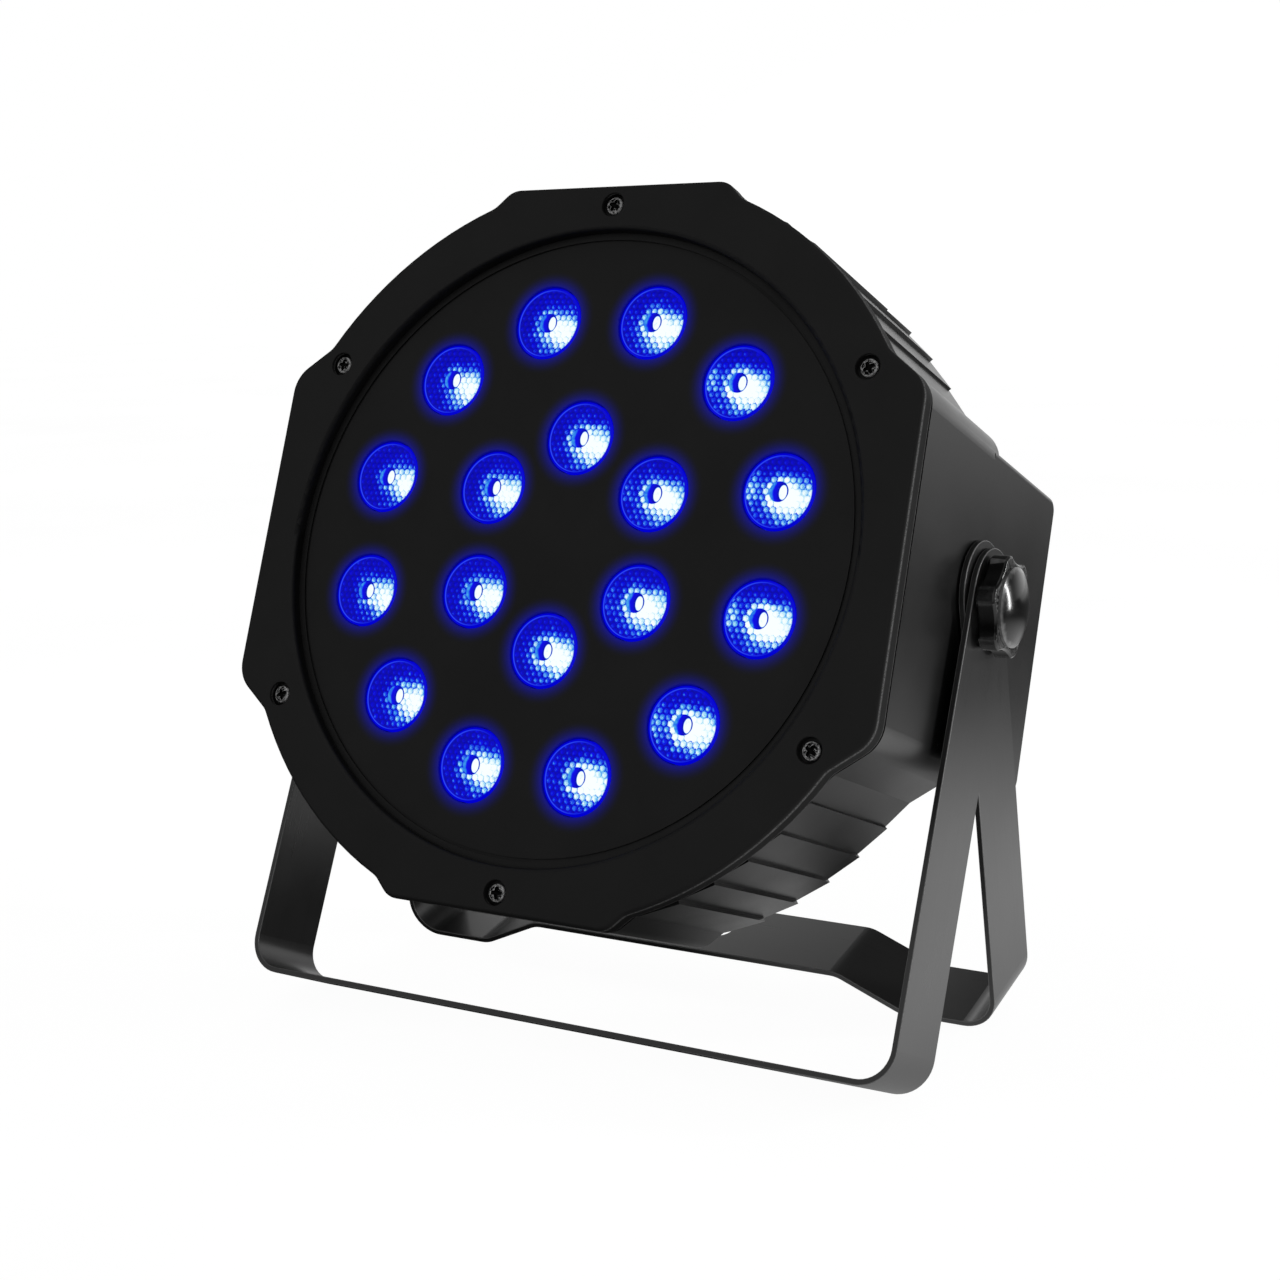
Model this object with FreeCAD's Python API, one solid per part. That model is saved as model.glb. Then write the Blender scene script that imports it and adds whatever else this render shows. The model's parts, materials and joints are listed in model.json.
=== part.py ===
import FreeCAD, Part
import math
import os

# A flat LED par light standing on its double yoke: a round moulded head with eighteen lensed
# LEDs, hung between two nested steel brackets that clamp on one tilt axis with star knobs.
#
# The head is modelled in its own frame: X to the right as seen from the front, Y rearward
# from the front face, Z up, origin at the centre of the front face. The brackets are modelled
# hanging straight down from the tilt axis. Everything is then set on its feet in the row
# frame: +Z up, front toward -Y, origin at the middle of the footprint.

# ---------------------------------------------------------------- driving dimensions (mm)
WALL = 2.5                      # moulded wall
SIDE = 95.0                     # half width across the side flats of the bezel
TOP = 95.8                      # half height across the top and bottom flats
RIM_R = 98.4                    # bezel's round outline between the flats
SIDE_EAR = 43.0                 # half length of a side flat, corner to corner
TOP_EAR = 32.6                  # half length of a top flat
EAR_ANGLES = (31.4, 67.6)       # where the ears' slopes meet the round outline
SIDE_CORNER_R = 9.0
TOP_CORNER_R = 6.0
EAR_ROOT_R = 6.0

BEZEL_T = 4.8                   # bezel thickness
WINDOW_R = 83.6                 # round opening of the bezel
PLATE_DEPTH = 3.1               # lens plate sits this far behind the front face
PLATE_T = 2.0
PLATE_R = 86.2

BODY_INSET = 0.2                # drum stands in from the bezel's edge
NECK_INSET = 3.0                # groove behind the bezel
DRUM_FRONT = 6.0
DRUM_REAR = 54.3
BAND_REAR = 102.0               # rear face of the raised band with the panel
BAND_HALF_H = 41.2
PLANK_START = 36.5              # stepped planks on the drum, degrees from the X axis
PLANK_PITCH = 6.0
PLANK_COUNT = 5
PLANK_HIGH = 98.0               # outer edge of the first plank
PLANK_STEP = 0.7                # each plank falls this much to the next
PLANK_GAIN = 0.25               # and each starts this much further out than the last

LENS_R = 9.75
LENS_HOLE_R = 9.95
OUTER_RING = (61.3, 12, 15.0)   # radius, count, first angle
INNER_RING = (28.1, 6, 30.0)

SCREW_SPOTS = [(0.0, 90.4), (0.0, -90.4)]
SCREW_SPOTS += [(sx * 79.3, sz * 46.6) for sx in (1, -1) for sz in (1, -1)]

PIVOT_Y = 53.0                  # tilt axis in the head frame
PIVOT_Z = 0.8
HEAD_TILT = 20.6                # front face looks up by this much
FRONT_SPLAY = 24.5              # front bracket leans forward
SHEET_T = 1.5                   # bracket sheet
STRAP_W = 26.0                  # bracket width
BEND_R = 9.0                    # bend radius at the middle of the sheet
FRONT_PAST = 1.8                # the straps' half-round tops are centred this far past the axis
REAR_PAST = 3.8
FRONT_LENGTH = 123.6            # tilt axis to the outer face of the crossbar
REAR_LENGTH = 117.9             # tilt axis to the outer face of the feet
RAISE_H = 8.8                   # rear crossbar's middle stands this much higher than its feet
RAISE_HALF = 50.0
FOOT_INNER = 69.0
CLAMP_HOLE_R = 4.25             # bolt hole in the raised crossbar
CLAMP_HOLE_X = 6.6

PAD_T = 0.4                     # friction pad between head and rear bracket
SHIM_T = 0.4                    # thin washer between the two brackets
STUD_R = 3.0
STUD_CLEAR = 0.06
REAR_LEG_IN = SIDE - BODY_INSET + PAD_T
FRONT_LEG_IN = REAR_LEG_IN + SHEET_T + SHIM_T
KNOB_SEAT = FRONT_LEG_IN + SHEET_T + 0.6
KNOB_R = 13.1
KNOB_WAIST_R = 11.3
KNOB_T = 5.0
CAP_R = 10.25
CAP_H = 2.6

PANEL_W = 176.0
PANEL_H = 72.0
PANEL_T = 1.5
INLET_X = -61.0
DMX_IN_X = -19.0
DMX_OUT_X = 13.0
DISPLAY_X = 56.0
DISPLAY_Z = 11.0
BUTTON_Z = -13.0
BUTTON_PITCH = 12.0
BUTTON_R = 3.4
PANEL_SCREWS = [(sx * 84.0, sz * 32.0) for sx in (1, -1) for sz in (1, -1)]

FAN_SIZE = 60.0
FAN_T = 15.0
FAN_Y = 33.5
FAN_BORE_R = 28.6
FAN_HUB_R = 13.5
FAN_SCREWS = [(sx * 25.0, sz * 25.0) for sx in (1, -1) for sz in (1, -1)]
FAN_BLADES = 7

BOARD_T = 1.6
LED_BOARD_Y = 14.6
SINK_R = 80.0
EYE_Z = 64.0                    # safety eye on the drum's rear wall
SINK_SCREWS = [(sx * 35.0, sz * 67.5) for sx in (1, -1) for sz in (1, -1)]
FIN_PITCH = 10.0
FIN_T = 1.8
FIN_H = 11.0
POWER_STANDS = [(-28.0, -42.0), (28.0, -42.0), (-25.0, -76.0), (25.0, -76.0)]
DRIVER_STANDS = [(-27.5, 46.5), (27.5, 46.5)]
BUTTON_NAMES = ["menu_button", "up_button", "down_button", "enter_button"]
BIG = 400.0

X_AXIS = FreeCAD.Vector(1, 0, 0)
Y_AXIS = FreeCAD.Vector(0, 1, 0)
Z_AXIS = FreeCAD.Vector(0, 0, 1)
ORIGIN = FreeCAD.Vector(0, 0, 0)

nodes = {}


# ---------------------------------------------------------------- helpers
def vec(x, y, z):
    return FreeCAD.Vector(x, y, z)


def box(x0, x1, y0, y1, z0, z1):
    return Part.makeBox(x1 - x0, y1 - y0, z1 - z0, vec(x0, y0, z0))


def rod_y(x, z, r, y0, y1):
    return Part.makeCylinder(r, y1 - y0, vec(x, y0, z), Y_AXIS)


def rod_x(x0, x1, r, y=0.0, z=0.0):
    return Part.makeCylinder(r, x1 - x0, vec(x0, y, z), X_AXIS)


def ring_y(x, z, r_out, r_in, y0, y1):
    return rod_y(x, z, r_out, y0, y1).cut(rod_y(x, z, r_in, y0 - 1, y1 + 1))


def ring_x(x0, x1, r_out, r_in, y=0.0, z=0.0):
    return rod_x(x0, x1, r_out, y, z).cut(rod_x(x0 - 1, x1 + 1, r_in, y, z))


def rounded_box(x0, x1, y0, y1, z0, z1, r):
    """A box whose four edges along Y are rounded."""
    body = box(x0, x1, y0, y1, z0, z1)
    edges = [e for e in body.Edges if abs(e.tangentAt(e.FirstParameter).y) > 0.99]
    return body.makeFillet(r, edges)


def slot_y(x, z0, z1, width, y0, y1):
    """An upright slot with round ends, cut along Y."""
    r = width / 2
    body = box(x - r, x + r, y0, y1, z0 + r, z1 - r)
    return body.fuse([rod_y(x, z0 + r, r, y0, y1), rod_y(x, z1 - r, r, y0, y1)])


def union(shapes):
    joined = shapes[0].fuse(shapes[1:]) if len(shapes) > 1 else shapes[0]
    return joined.removeSplitter()


def polar(r, angle):
    a = math.radians(angle)
    return (r * math.cos(a), r * math.sin(a))


def path_edges(points, radii):
    """Edges of an open path in the XZ plane; radii rounds each inner corner."""
    pts = [vec(x, 0, z) for x, z in points]
    edges = []
    start = pts[0]
    for before, corner, after, r in zip(pts, pts[1:], pts[2:], radii):
        d1 = (corner - before).normalize()
        d2 = (after - corner).normalize()
        half = d1.getAngle(d2) / 2
        if r > 0 and half > 1e-6:
            reach = r * math.tan(half)
            bend_in = corner - d1 * reach
            bend_out = corner + d2 * reach
            inward = (d2 - d1).normalize()
            middle = corner + inward * (r / math.cos(half) - r)
            edges.append(Part.LineSegment(start, bend_in).toShape())
            edges.append(Part.Arc(bend_in, middle, bend_out).toShape())
            start = bend_out
        else:
            edges.append(Part.LineSegment(start, corner).toShape())
            start = corner
    edges.append(Part.LineSegment(start, pts[-1]).toShape())
    return edges


def offset_points(points, gap):
    """The open path shifted to its left by gap, corners kept sharp."""
    lines = []
    for (x0, z0), (x1, z1) in zip(points, points[1:]):
        length = math.hypot(x1 - x0, z1 - z0)
        nx, nz = -(z1 - z0) / length * gap, (x1 - x0) / length * gap
        lines.append(((x0 + nx, z0 + nz), (x1 + nx, z1 + nz)))
    shifted = [lines[0][0]]
    for (a, b), (c, d) in zip(lines, lines[1:]):
        ux, uz = b[0] - a[0], b[1] - a[1]
        vx, vz = d[0] - c[0], d[1] - c[1]
        s = ((c[0] - a[0]) * vz - (c[1] - a[1]) * vx) / (ux * vz - uz * vx)
        shifted.append((a[0] + s * ux, a[1] + s * uz))
    shifted.append(lines[-1][1])
    return shifted


def bent_sheet(points, bend, thickness, width):
    """Sheet of a given thickness folded along a path of its middle line, centred on Y."""
    left = offset_points(points, thickness / 2)
    right = offset_points(points, -thickness / 2)
    left_radii, right_radii = [], []
    for (x0, z0), (x1, z1), (x2, z2) in zip(points, points[1:], points[2:]):
        turn = (x1 - x0) * (z2 - z1) - (z1 - z0) * (x2 - x1)
        half = thickness / 2 if turn > 0 else -thickness / 2
        left_radii.append(bend - half)
        right_radii.append(bend + half)
    edges = path_edges(left, left_radii)
    back = path_edges(right, right_radii)
    ends = [Part.LineSegment(vec(left[i][0], 0, left[i][1]), vec(right[i][0], 0, right[i][1]))
            for i in (0, -1)]
    wire = Part.Wire(Part.__sortEdges__(edges + back + [e.toShape() for e in ends]))
    sheet = Part.Face(wire).extrude(vec(0, width, 0))
    sheet.translate(vec(0, -width / 2, 0))
    return sheet


def bent_wire(points, r, bend):
    """A round wire through points in space: straight runs joined by tangent arcs."""
    pts = [vec(*p) for p in points]
    edges = []
    start = pts[0]
    for before, corner, after in zip(pts, pts[1:], pts[2:]):
        d1 = (corner - before).normalize()
        d2 = (after - corner).normalize()
        half = d1.getAngle(d2) / 2
        reach = bend * math.tan(half)
        inward = (d2 - d1).normalize()
        bend_in, bend_out = corner - d1 * reach, corner + d2 * reach
        middle = corner + inward * (bend / math.cos(half) - bend)
        edges.append(Part.LineSegment(start, bend_in).toShape())
        edges.append(Part.Arc(bend_in, middle, bend_out).toShape())
        start = bend_out
    edges.append(Part.LineSegment(start, pts[-1]).toShape())
    direction = pts[1] - pts[0]
    section = Part.Wire(Part.makeCircle(r, pts[0], direction))
    return Part.Wire(edges).makePipeShell([section], True, False)


def head_outline(inset, planks=False):
    """Closed outline of the head in XZ, drawn in from the bezel's edge by inset."""
    k = (SIDE - inset) / SIDE
    radius = RIM_R * k
    low, high = EAR_ANGLES

    def quadrant(sx, sz):
        """Round stretch of one quadrant, from its side ear to its top ear."""
        def at(r, a):
            x, z = polar(r, a)
            return vec(sx * x, 0, sz * z)
        if not planks:
            return [Part.Arc(at(radius, low), at(radius, (low + high) / 2), at(radius, high)).toShape()]
        steps = [at(radius, low), at(PLANK_HIGH - PLANK_STEP, PLANK_START)]
        for i in range(PLANK_COUNT):
            outer = PLANK_HIGH + i * PLANK_GAIN
            steps.append(at(outer, PLANK_START + i * PLANK_PITCH))
            steps.append(at(outer - PLANK_STEP, PLANK_START + (i + 1) * PLANK_PITCH))
        steps.append(at(radius, high))
        return [Part.LineSegment(a, b).toShape() for a, b in zip(steps, steps[1:])]

    edges = []
    for sx in (1, -1):
        for sz in (1, -1):
            edges += quadrant(sx, sz)
    side_root = polar(radius, low)
    top_root = polar(radius, high)
    side_corner = (SIDE * k, SIDE_EAR * k)
    top_corner = (TOP_EAR * k, TOP * k)
    for s in (1, -1):
        ear = [(s * x, z) for x, z in (side_root, side_corner)]
        ear += [(x, -z) for x, z in reversed(ear)]
        edges += path_edges(ear, [SIDE_CORNER_R * k] * 2)
        ear = [(x, s * z) for x, z in (top_root, top_corner)]
        ear += [(-x, z) for x, z in reversed(ear)]
        edges += path_edges(ear, [TOP_CORNER_R * k] * 2)
    return Part.Wire(Part.__sortEdges__(edges))


def head_prism(inset, y0, y1, planks=False):
    face = Part.Face(head_outline(inset, planks))
    prism = face.extrude(vec(0, y1 - y0, 0))
    prism.translate(vec(0, y0, 0))
    return prism


def lens_spots():
    spots = []
    for radius, count, first in (OUTER_RING, INNER_RING):
        for i in range(count):
            spots.append(polar(radius, first + i * 360.0 / count))
    return spots


def pan_screw(x, z, seat, length, shank_r, head_r, head_h):
    """A cross-recess screw along Y whose head sits in front of seat (toward -Y)."""
    shank = rod_y(x, z, shank_r, seat, seat + length)
    crown = rod_y(x, z, head_r, seat - head_h, seat)
    rim = [e for e in crown.Edges if abs(e.CenterOfMass.y - (seat - head_h)) < 1e-6]
    crown = crown.makeFillet(head_h * 0.55, rim)
    arm = head_r * 0.62
    cut = head_h * 0.6
    width = head_r * 0.14
    top = seat - head_h
    cross = box(x - arm, x + arm, top - 1, top + cut, z - width, z + width)
    cross = cross.fuse(box(x - width, x + width, top - 1, top + cut, z - arm, z + arm))
    return union([shank, crown]).cut(cross)


def flip_y(shape, plane_y):
    """Mirror a shape made for the front so that it faces the rear."""
    return shape.mirror(vec(0, plane_y, 0), Y_AXIS)


def rear_screw(x, z, seat, length, shank_r, head_r, head_h):
    return flip_y(pan_screw(x, z, seat, length, shank_r, head_r, head_h), seat)


def both_sides(shape):
    """A shape made for the right side and its mirror image on the left."""
    return [shape, shape.mirror(ORIGIN, X_AXIS)]


# ---------------------------------------------------------------- placing
def set_head(shape):
    """Head frame to row frame: tilt about the tilt axis and lift to its height."""
    moved = shape.copy()
    moved.translate(vec(0, -PIVOT_Y, -PIVOT_Z))
    moved.rotate(ORIGIN, X_AXIS, -HEAD_TILT)
    moved.translate(vec(0, 0, AXIS_HEIGHT))
    return moved


def set_bracket(shape, lean):
    """Bracket frame to row frame; a positive lean swings the crossbar to the rear."""
    moved = shape.copy()
    moved.rotate(ORIGIN, X_AXIS, lean)
    moved.translate(vec(0, 0, AXIS_HEIGHT))
    return moved


def foot_drop(length, splay):
    """How far below the tilt axis a leaning crossbar reaches."""
    a = math.radians(splay)
    return length * math.cos(a) + STRAP_W / 2 * math.sin(a)


def splay_for_drop(length, drop):
    """The lean, in degrees, at which a crossbar reaches exactly drop below the tilt axis."""
    corner = math.hypot(length, STRAP_W / 2)
    return math.degrees(math.atan2(STRAP_W / 2, length) + math.acos(drop / corner))


AXIS_HEIGHT = foot_drop(FRONT_LENGTH, FRONT_SPLAY)
REAR_SPLAY = splay_for_drop(REAR_LENGTH, AXIS_HEIGHT)


def add_head(name, shapes):
    """Store one node of the head; a list makes a group of separate solids."""
    parts = shapes if isinstance(shapes, list) else [shapes]
    placed = [set_head(s) for s in parts]
    nodes[name] = placed[0] if len(placed) == 1 else Part.Compound(placed)


# ---------------------------------------------------------------- front of the head
def make_bezel():
    body = head_prism(0, 0, BEZEL_T)
    roots = [e for e in body.Edges
             if abs(e.tangentAt(e.FirstParameter).y) > 0.99
             and abs(math.hypot(e.CenterOfMass.x, e.CenterOfMass.z) - RIM_R) < 0.05]
    body = body.makeFillet(EAR_ROOT_R, roots)
    body = body.cut(rod_y(0, 0, WINDOW_R, -1, BEZEL_T + 1))
    body = body.cut(rod_y(0, 0, PLATE_R + 0.2, PLATE_DEPTH - 0.1, BEZEL_T + 1))
    front = [e for e in body.Edges if abs(e.BoundBox.YMin) < 1e-6 and abs(e.BoundBox.YMax) < 1e-6]
    body = body.makeFillet(1.2, front)
    for x, z in SCREW_SPOTS:
        body = body.cut(rod_y(x, z, 3.3, -1, 2.0)).cut(rod_y(x, z, 1.7, -1, BEZEL_T + 1))
    return body


def make_lens_plate():
    plate = rod_y(0, 0, PLATE_R, PLATE_DEPTH, PLATE_DEPTH + PLATE_T)
    plate = plate.cut(ring_y(0, 0, 81.8, 81.0, PLATE_DEPTH - 1, PLATE_DEPTH + 0.5))
    holes = [rod_y(x, z, LENS_HOLE_R, 0, 10) for x, z in lens_spots()]
    plate = plate.cut(holes)
    mouth = 2 * math.pi * LENS_HOLE_R
    mouths = [e for e in plate.Edges
              if abs(e.BoundBox.YMax - PLATE_DEPTH) < 1e-6 and abs(e.Length - mouth) < 0.1]
    return plate.makeFillet(0.4, mouths)


def make_lens(x, z):
    front = PLATE_DEPTH + 0.5
    flange = rod_y(x, z, LENS_R, front, front + 1.8)
    cone = Part.makeCone(LENS_R - 0.6, 3.4, 8.2, vec(x, front + 1.8, z), Y_AXIS)
    pocket = rod_y(x, z, 2.7, front + 7.4, front + 11)
    return union([flange, cone]).cut(pocket)


def make_lens_holder(x, z):
    back = PLATE_DEPTH + PLATE_T
    return ring_y(x, z, LENS_R + 1.1, LENS_R + 0.1, back + 0.05, LED_BOARD_Y)


def make_emitter(x, z):
    seat = rod_y(x, z, 3.0, LED_BOARD_Y - 0.8, LED_BOARD_Y)
    seat = seat.common(box(x - 2.6, x + 2.6, 0, 40, z - 2.6, z + 2.6))
    dome = Part.makeSphere(2.0, vec(x, LED_BOARD_Y - 0.8, z))
    dome = dome.common(rod_y(x, z, 2.2, LED_BOARD_Y - 4, LED_BOARD_Y - 0.8))
    return union([seat, dome])


def make_heat_sink():
    """A finned extrusion along Z, turned down to a disc."""
    base_y = LED_BOARD_Y + BOARD_T
    fin_y = base_y + 3.0
    edge = SINK_R + 5
    outline = [(edge, base_y), (-edge, base_y), (-edge, fin_y)]
    for i in range(-7, 8):
        left, right = i * FIN_PITCH - FIN_T / 2, i * FIN_PITCH + FIN_T / 2
        outline += [(left, fin_y), (left, fin_y + FIN_H), (right, fin_y + FIN_H), (right, fin_y)]
    outline += [(edge, fin_y), (edge, base_y)]
    profile = Part.Face(Part.makePolygon([vec(x, y, -edge) for x, y in outline]))
    comb = profile.extrude(vec(0, 0, 2 * edge))
    disc = comb.common(rod_y(0, 0, SINK_R, base_y - 1, fin_y + FIN_H + 1))
    return disc.cut([rod_y(x, z, 1.6, 0, 60) for x, z in SINK_SCREWS + FAN_SCREWS])


def make_front():
    add_head("front_bezel", make_bezel())
    seal = head_prism(2.1, BEZEL_T, DRUM_FRONT - 0.15).cut(head_prism(NECK_INSET - 0.02, 0, 10))
    add_head("bezel_seal", seal)
    add_head("lens_plate", make_lens_plate())
    add_head("lenses", [make_lens(x, z) for x, z in lens_spots()])
    add_head("lens_holders", [make_lens_holder(x, z) for x, z in lens_spots()])
    add_head("led_emitters", [make_emitter(x, z) for x, z in lens_spots()])
    board = rod_y(0, 0, SINK_R, LED_BOARD_Y, LED_BOARD_Y + BOARD_T)
    board = board.cut([rod_y(x, z, 1.6, 0, 60) for x, z in SINK_SCREWS + FAN_SCREWS])
    add_head("led_board", board)
    add_head("heat_sink", make_heat_sink())
    add_head("heat_sink_screws", [pan_screw(x, z, LED_BOARD_Y, 24.0, 1.5, 2.8, 1.8)
                                  for x, z in SINK_SCREWS])
    add_head("bezel_screws", [pan_screw(x, z, 2.0, 14.0, 1.5, 2.3, 1.5) for x, z in SCREW_SPOTS])


# ---------------------------------------------------------------- rear housing
def make_housing():
    skin = SIDE - BODY_INSET
    drum = head_prism(BODY_INSET, DRUM_FRONT, DRUM_REAR, planks=True)
    neck = head_prism(NECK_INSET, BEZEL_T + 0.1, DRUM_FRONT + 1)
    band = box(-skin, skin, DRUM_REAR - 3, BAND_REAR, -BAND_HALF_H, BAND_HALF_H)
    long_edges = [e for e in band.Edges
                  if abs(e.tangentAt(e.FirstParameter).x) > 0.99 and e.CenterOfMass.y > DRUM_REAR]
    band = band.makeFillet(4.0, long_edges)
    short_edges = [e for e in band.Edges
                   if abs(e.BoundBox.YMin - BAND_REAR) < 1e-6 and abs(e.BoundBox.XLength) < 1e-6]
    band = band.makeFillet(1.5, short_edges)
    shell = union([drum, neck, band])

    shell = shell.cut(head_prism(BODY_INSET + WALL + 0.7, 0, DRUM_REAR - WALL))
    room = box(-skin + WALL, skin - WALL, DRUM_REAR - WALL - 1, BAND_REAR - WALL,
               -BAND_HALF_H + WALL, BAND_HALF_H - WALL)
    shell = shell.cut(room)
    shell = shell.cut(rounded_box(-PANEL_W / 2 + 2, PANEL_W / 2 - 2, BAND_REAR - 10, BAND_REAR + 5,
                                  -PANEL_H / 2 + 2, PANEL_H / 2 - 2, 2.0))
    shell = shell.cut(rounded_box(-PANEL_W / 2 - 0.2, PANEL_W / 2 + 0.2, BAND_REAR - PANEL_T - 0.1,
                                  BAND_REAR + 5, -PANEL_H / 2 - 0.2, PANEL_H / 2 + 0.2, 2.2))

    bosses = []
    bosses += [rod_y(x, z, 4.2, BEZEL_T + 0.1, 26.0) for x, z in SCREW_SPOTS]
    for s in (1, -1):
        ends = sorted((s * (skin - WALL + 0.5), s * 80.0))
        bosses.append(rod_x(ends[0], ends[1], 9.0, PIVOT_Y, PIVOT_Z))
    for x, z in SINK_SCREWS:
        bosses.append(rod_y(x, z, 3.3, LED_BOARD_Y + BOARD_T + 15.0, DRUM_REAR - WALL + 0.5))
    for x, z in PANEL_SCREWS:
        bosses.append(rod_y(x, z, 4.0, BAND_REAR - 16, BAND_REAR - PANEL_T - 0.1))
    inside = union([head_prism(NECK_INSET, BEZEL_T + 0.1, DRUM_FRONT + 1),
                    head_prism(BODY_INSET + 0.6, DRUM_FRONT, DRUM_REAR),
                    box(-skin + 0.6, skin - 0.6, DRUM_REAR - 3, BAND_REAR - PANEL_T - 0.1,
                        -BAND_HALF_H + 0.6, BAND_HALF_H - 0.6)])
    shell = union([shell] + [b.common(inside) for b in bosses])

    cuts = [rod_y(x, z, 1.56, 0, 24.0) for x, z in SCREW_SPOTS]
    cuts += [rod_y(x, z, 1.56, 20.0, 48.0) for x, z in SINK_SCREWS]
    cuts += [rod_y(x, z, 1.56, BAND_REAR - 14, BAND_REAR + 1) for x, z in PANEL_SCREWS]
    cuts += both_sides(rod_x(78.0, SIDE + 1, 5.0, PIVOT_Y, PIVOT_Z))
    cuts.append(rod_y(0, EYE_Z, 2.06, 40, 60))
    for i in range(-7, 8):
        x = i * 8.0
        reach = math.sqrt(86.0 ** 2 - x ** 2)
        for s in (1, -1):
            inner = 80.0 if i == 0 and s > 0 else 47.0
            z0, z1 = sorted((s * inner, s * reach))
            if all(math.hypot(x - bx, bz - min(max(bz, z0), z1)) > 6.5 for bx, bz in SINK_SCREWS):
                cuts.append(slot_y(x, z0, z1, 3.0, DRUM_REAR - WALL - 1, DRUM_REAR + 1))
    return shell.cut(cuts)


def make_rear_panel():
    y0 = BAND_REAR - PANEL_T
    plate = rounded_box(-PANEL_W / 2, PANEL_W / 2, y0, BAND_REAR, -PANEL_H / 2, PANEL_H / 2, 2.0)
    y0, y1 = y0 - 1, BAND_REAR + 1
    cuts = [box(INLET_X - 16.2, INLET_X + 16.2, y0, y1, -16.2, 16.2)]
    for x in (DMX_IN_X, DMX_OUT_X):
        cuts.append(rod_y(x, 0, 12.0, y0, y1))
    for x, z in socket_screw_spots():
        cuts.append(rod_y(x, z, 1.6, y0, y1))
    cuts.append(box(DMX_OUT_X - 2.7, DMX_OUT_X + 2.7, y0, y1, 9.0, 14.4))
    cuts.append(rounded_box(DISPLAY_X - 17.1, DISPLAY_X + 17.1, y0, y1,
                            DISPLAY_Z - 8.1, DISPLAY_Z + 8.1, 1.1))
    for x in button_xs():
        cuts.append(rod_y(x, BUTTON_Z, BUTTON_R + 0.2, y0, y1))
    for x, z in PANEL_SCREWS:
        cuts.append(rod_y(x, z, 1.7, y0, y1))
    return plate.cut(cuts)


def button_xs():
    return [DISPLAY_X + (i - 1.5) * BUTTON_PITCH for i in range(4)]


def socket_screw_spots():
    spots = []
    for x in (DMX_IN_X, DMX_OUT_X):
        spots += [(x - 9.5, 12.0), (x + 9.5, -12.0)]
    return spots + [(INLET_X - 20.0, 0.0), (INLET_X + 20.0, 0.0)]


def make_dmx_in():
    """Male three-pin chassis socket: an open round well with pins standing in it."""
    face = BAND_REAR
    body = union([rod_y(DMX_IN_X, 0, 11.8, face - 24, face + 0.5),
                  rounded_box(DMX_IN_X - 13, DMX_IN_X + 13, face, face + 2.2, -15.5, 15.5, 2.0)])
    well = rod_y(DMX_IN_X, 0, 9.6, face - 14, face + 5)
    holes = [rod_y(x, z, 1.6, face - 1, face + 5) for x, z in socket_screw_spots()[:2]]
    pins = [rod_y(x, z, 1.2, face - 30, face + 5) for x, z in dmx_contacts(DMX_IN_X)]
    return body.cut([well] + holes + pins)


def dmx_contacts(x):
    return [(x + dx, dz) for dx, dz in (polar(4.2, 0), polar(4.2, 180), polar(4.2, 270))]


def make_dmx_out():
    """Female three-hole chassis socket with a release tab at the top."""
    face = BAND_REAR
    body = union([rod_y(DMX_OUT_X, 0, 11.8, face - 24, face + 0.5),
                  rounded_box(DMX_OUT_X - 13, DMX_OUT_X + 13, face, face + 2.2, -15.5, 15.5, 2.0)])
    moat = ring_y(DMX_OUT_X, 0, 10.4, 7.9, face - 13, face + 5)
    holes = [rod_y(x, z, 1.6, face - 1, face + 5) for x, z in socket_screw_spots()[2:4]]
    sockets = [rod_y(x, z, 1.4, face - 12, face + 5) for x, z in dmx_contacts(DMX_OUT_X)]
    track = box(DMX_OUT_X - 2.7, DMX_OUT_X + 2.7, face - 8, face + 5, 9.0, 14.4)
    return body.cut([moat, track] + holes + sockets)


def make_release_tab():
    face = BAND_REAR
    tab = box(DMX_OUT_X - 2.5, DMX_OUT_X + 2.5, face - 5.0, face + 3.4, 10.6, 14.0)
    top = [e for e in tab.Edges if abs(e.CenterOfMass.y - (face + 3.4)) < 1e-6]
    return tab.makeFillet(0.6, top)


def make_inlet():
    """Appliance inlet with a well for the connector above and a fuse drawer below it."""
    face = BAND_REAR
    shell = union([box(INLET_X - 16, INLET_X + 16, face - 26, face + 0.5, -16, 16),
                   rounded_box(INLET_X - 25, INLET_X + 25, face, face + 2.5, -18, 18, 3.0)])
    well = rounded_box(INLET_X - 12.2, INLET_X + 12.2, face - 14.5, face + 5, -2.0, 14.2, 3.0)
    drawer = box(INLET_X - 11.2, INLET_X + 11.2, face - 22.2, face + 5, -13.7, -4.8)
    holes = [rod_y(x, z, 1.6, face - 1, face + 5) for x, z in socket_screw_spots()[4:]]
    pins = [box(x - 1.0, x + 1.0, face - 30, face + 5, z - 2.0, z + 2.0) for x, z in inlet_pins()]
    return shell.cut([well, drawer] + holes + pins)


def inlet_pins():
    return [(INLET_X - 7.0, 4.2), (INLET_X + 7.0, 4.2), (INLET_X, 8.2)]


def make_fuse_drawer():
    face = BAND_REAR
    tray = box(INLET_X - 11.0, INLET_X + 11.0, face - 22.0, face + 2.5, -13.5, -5.0)
    lip = rounded_box(INLET_X - 13.0, INLET_X + 13.0, face + 2.6, face + 4.2, -14.6, -4.0, 1.2)
    grip = box(INLET_X - 5, INLET_X + 5, face + 3.3, face + 5.0, -10.0, -8.6)
    bay = box(INLET_X - 10.4, INLET_X + 10.4, face - 20.0, face - 10.0, -12.6, -4.0)
    joint = box(INLET_X - 9, INLET_X + 9, face + 2, face + 3, -13, -5.6)
    return union([tray, lip, joint]).cut(bay).cut(grip)


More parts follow.
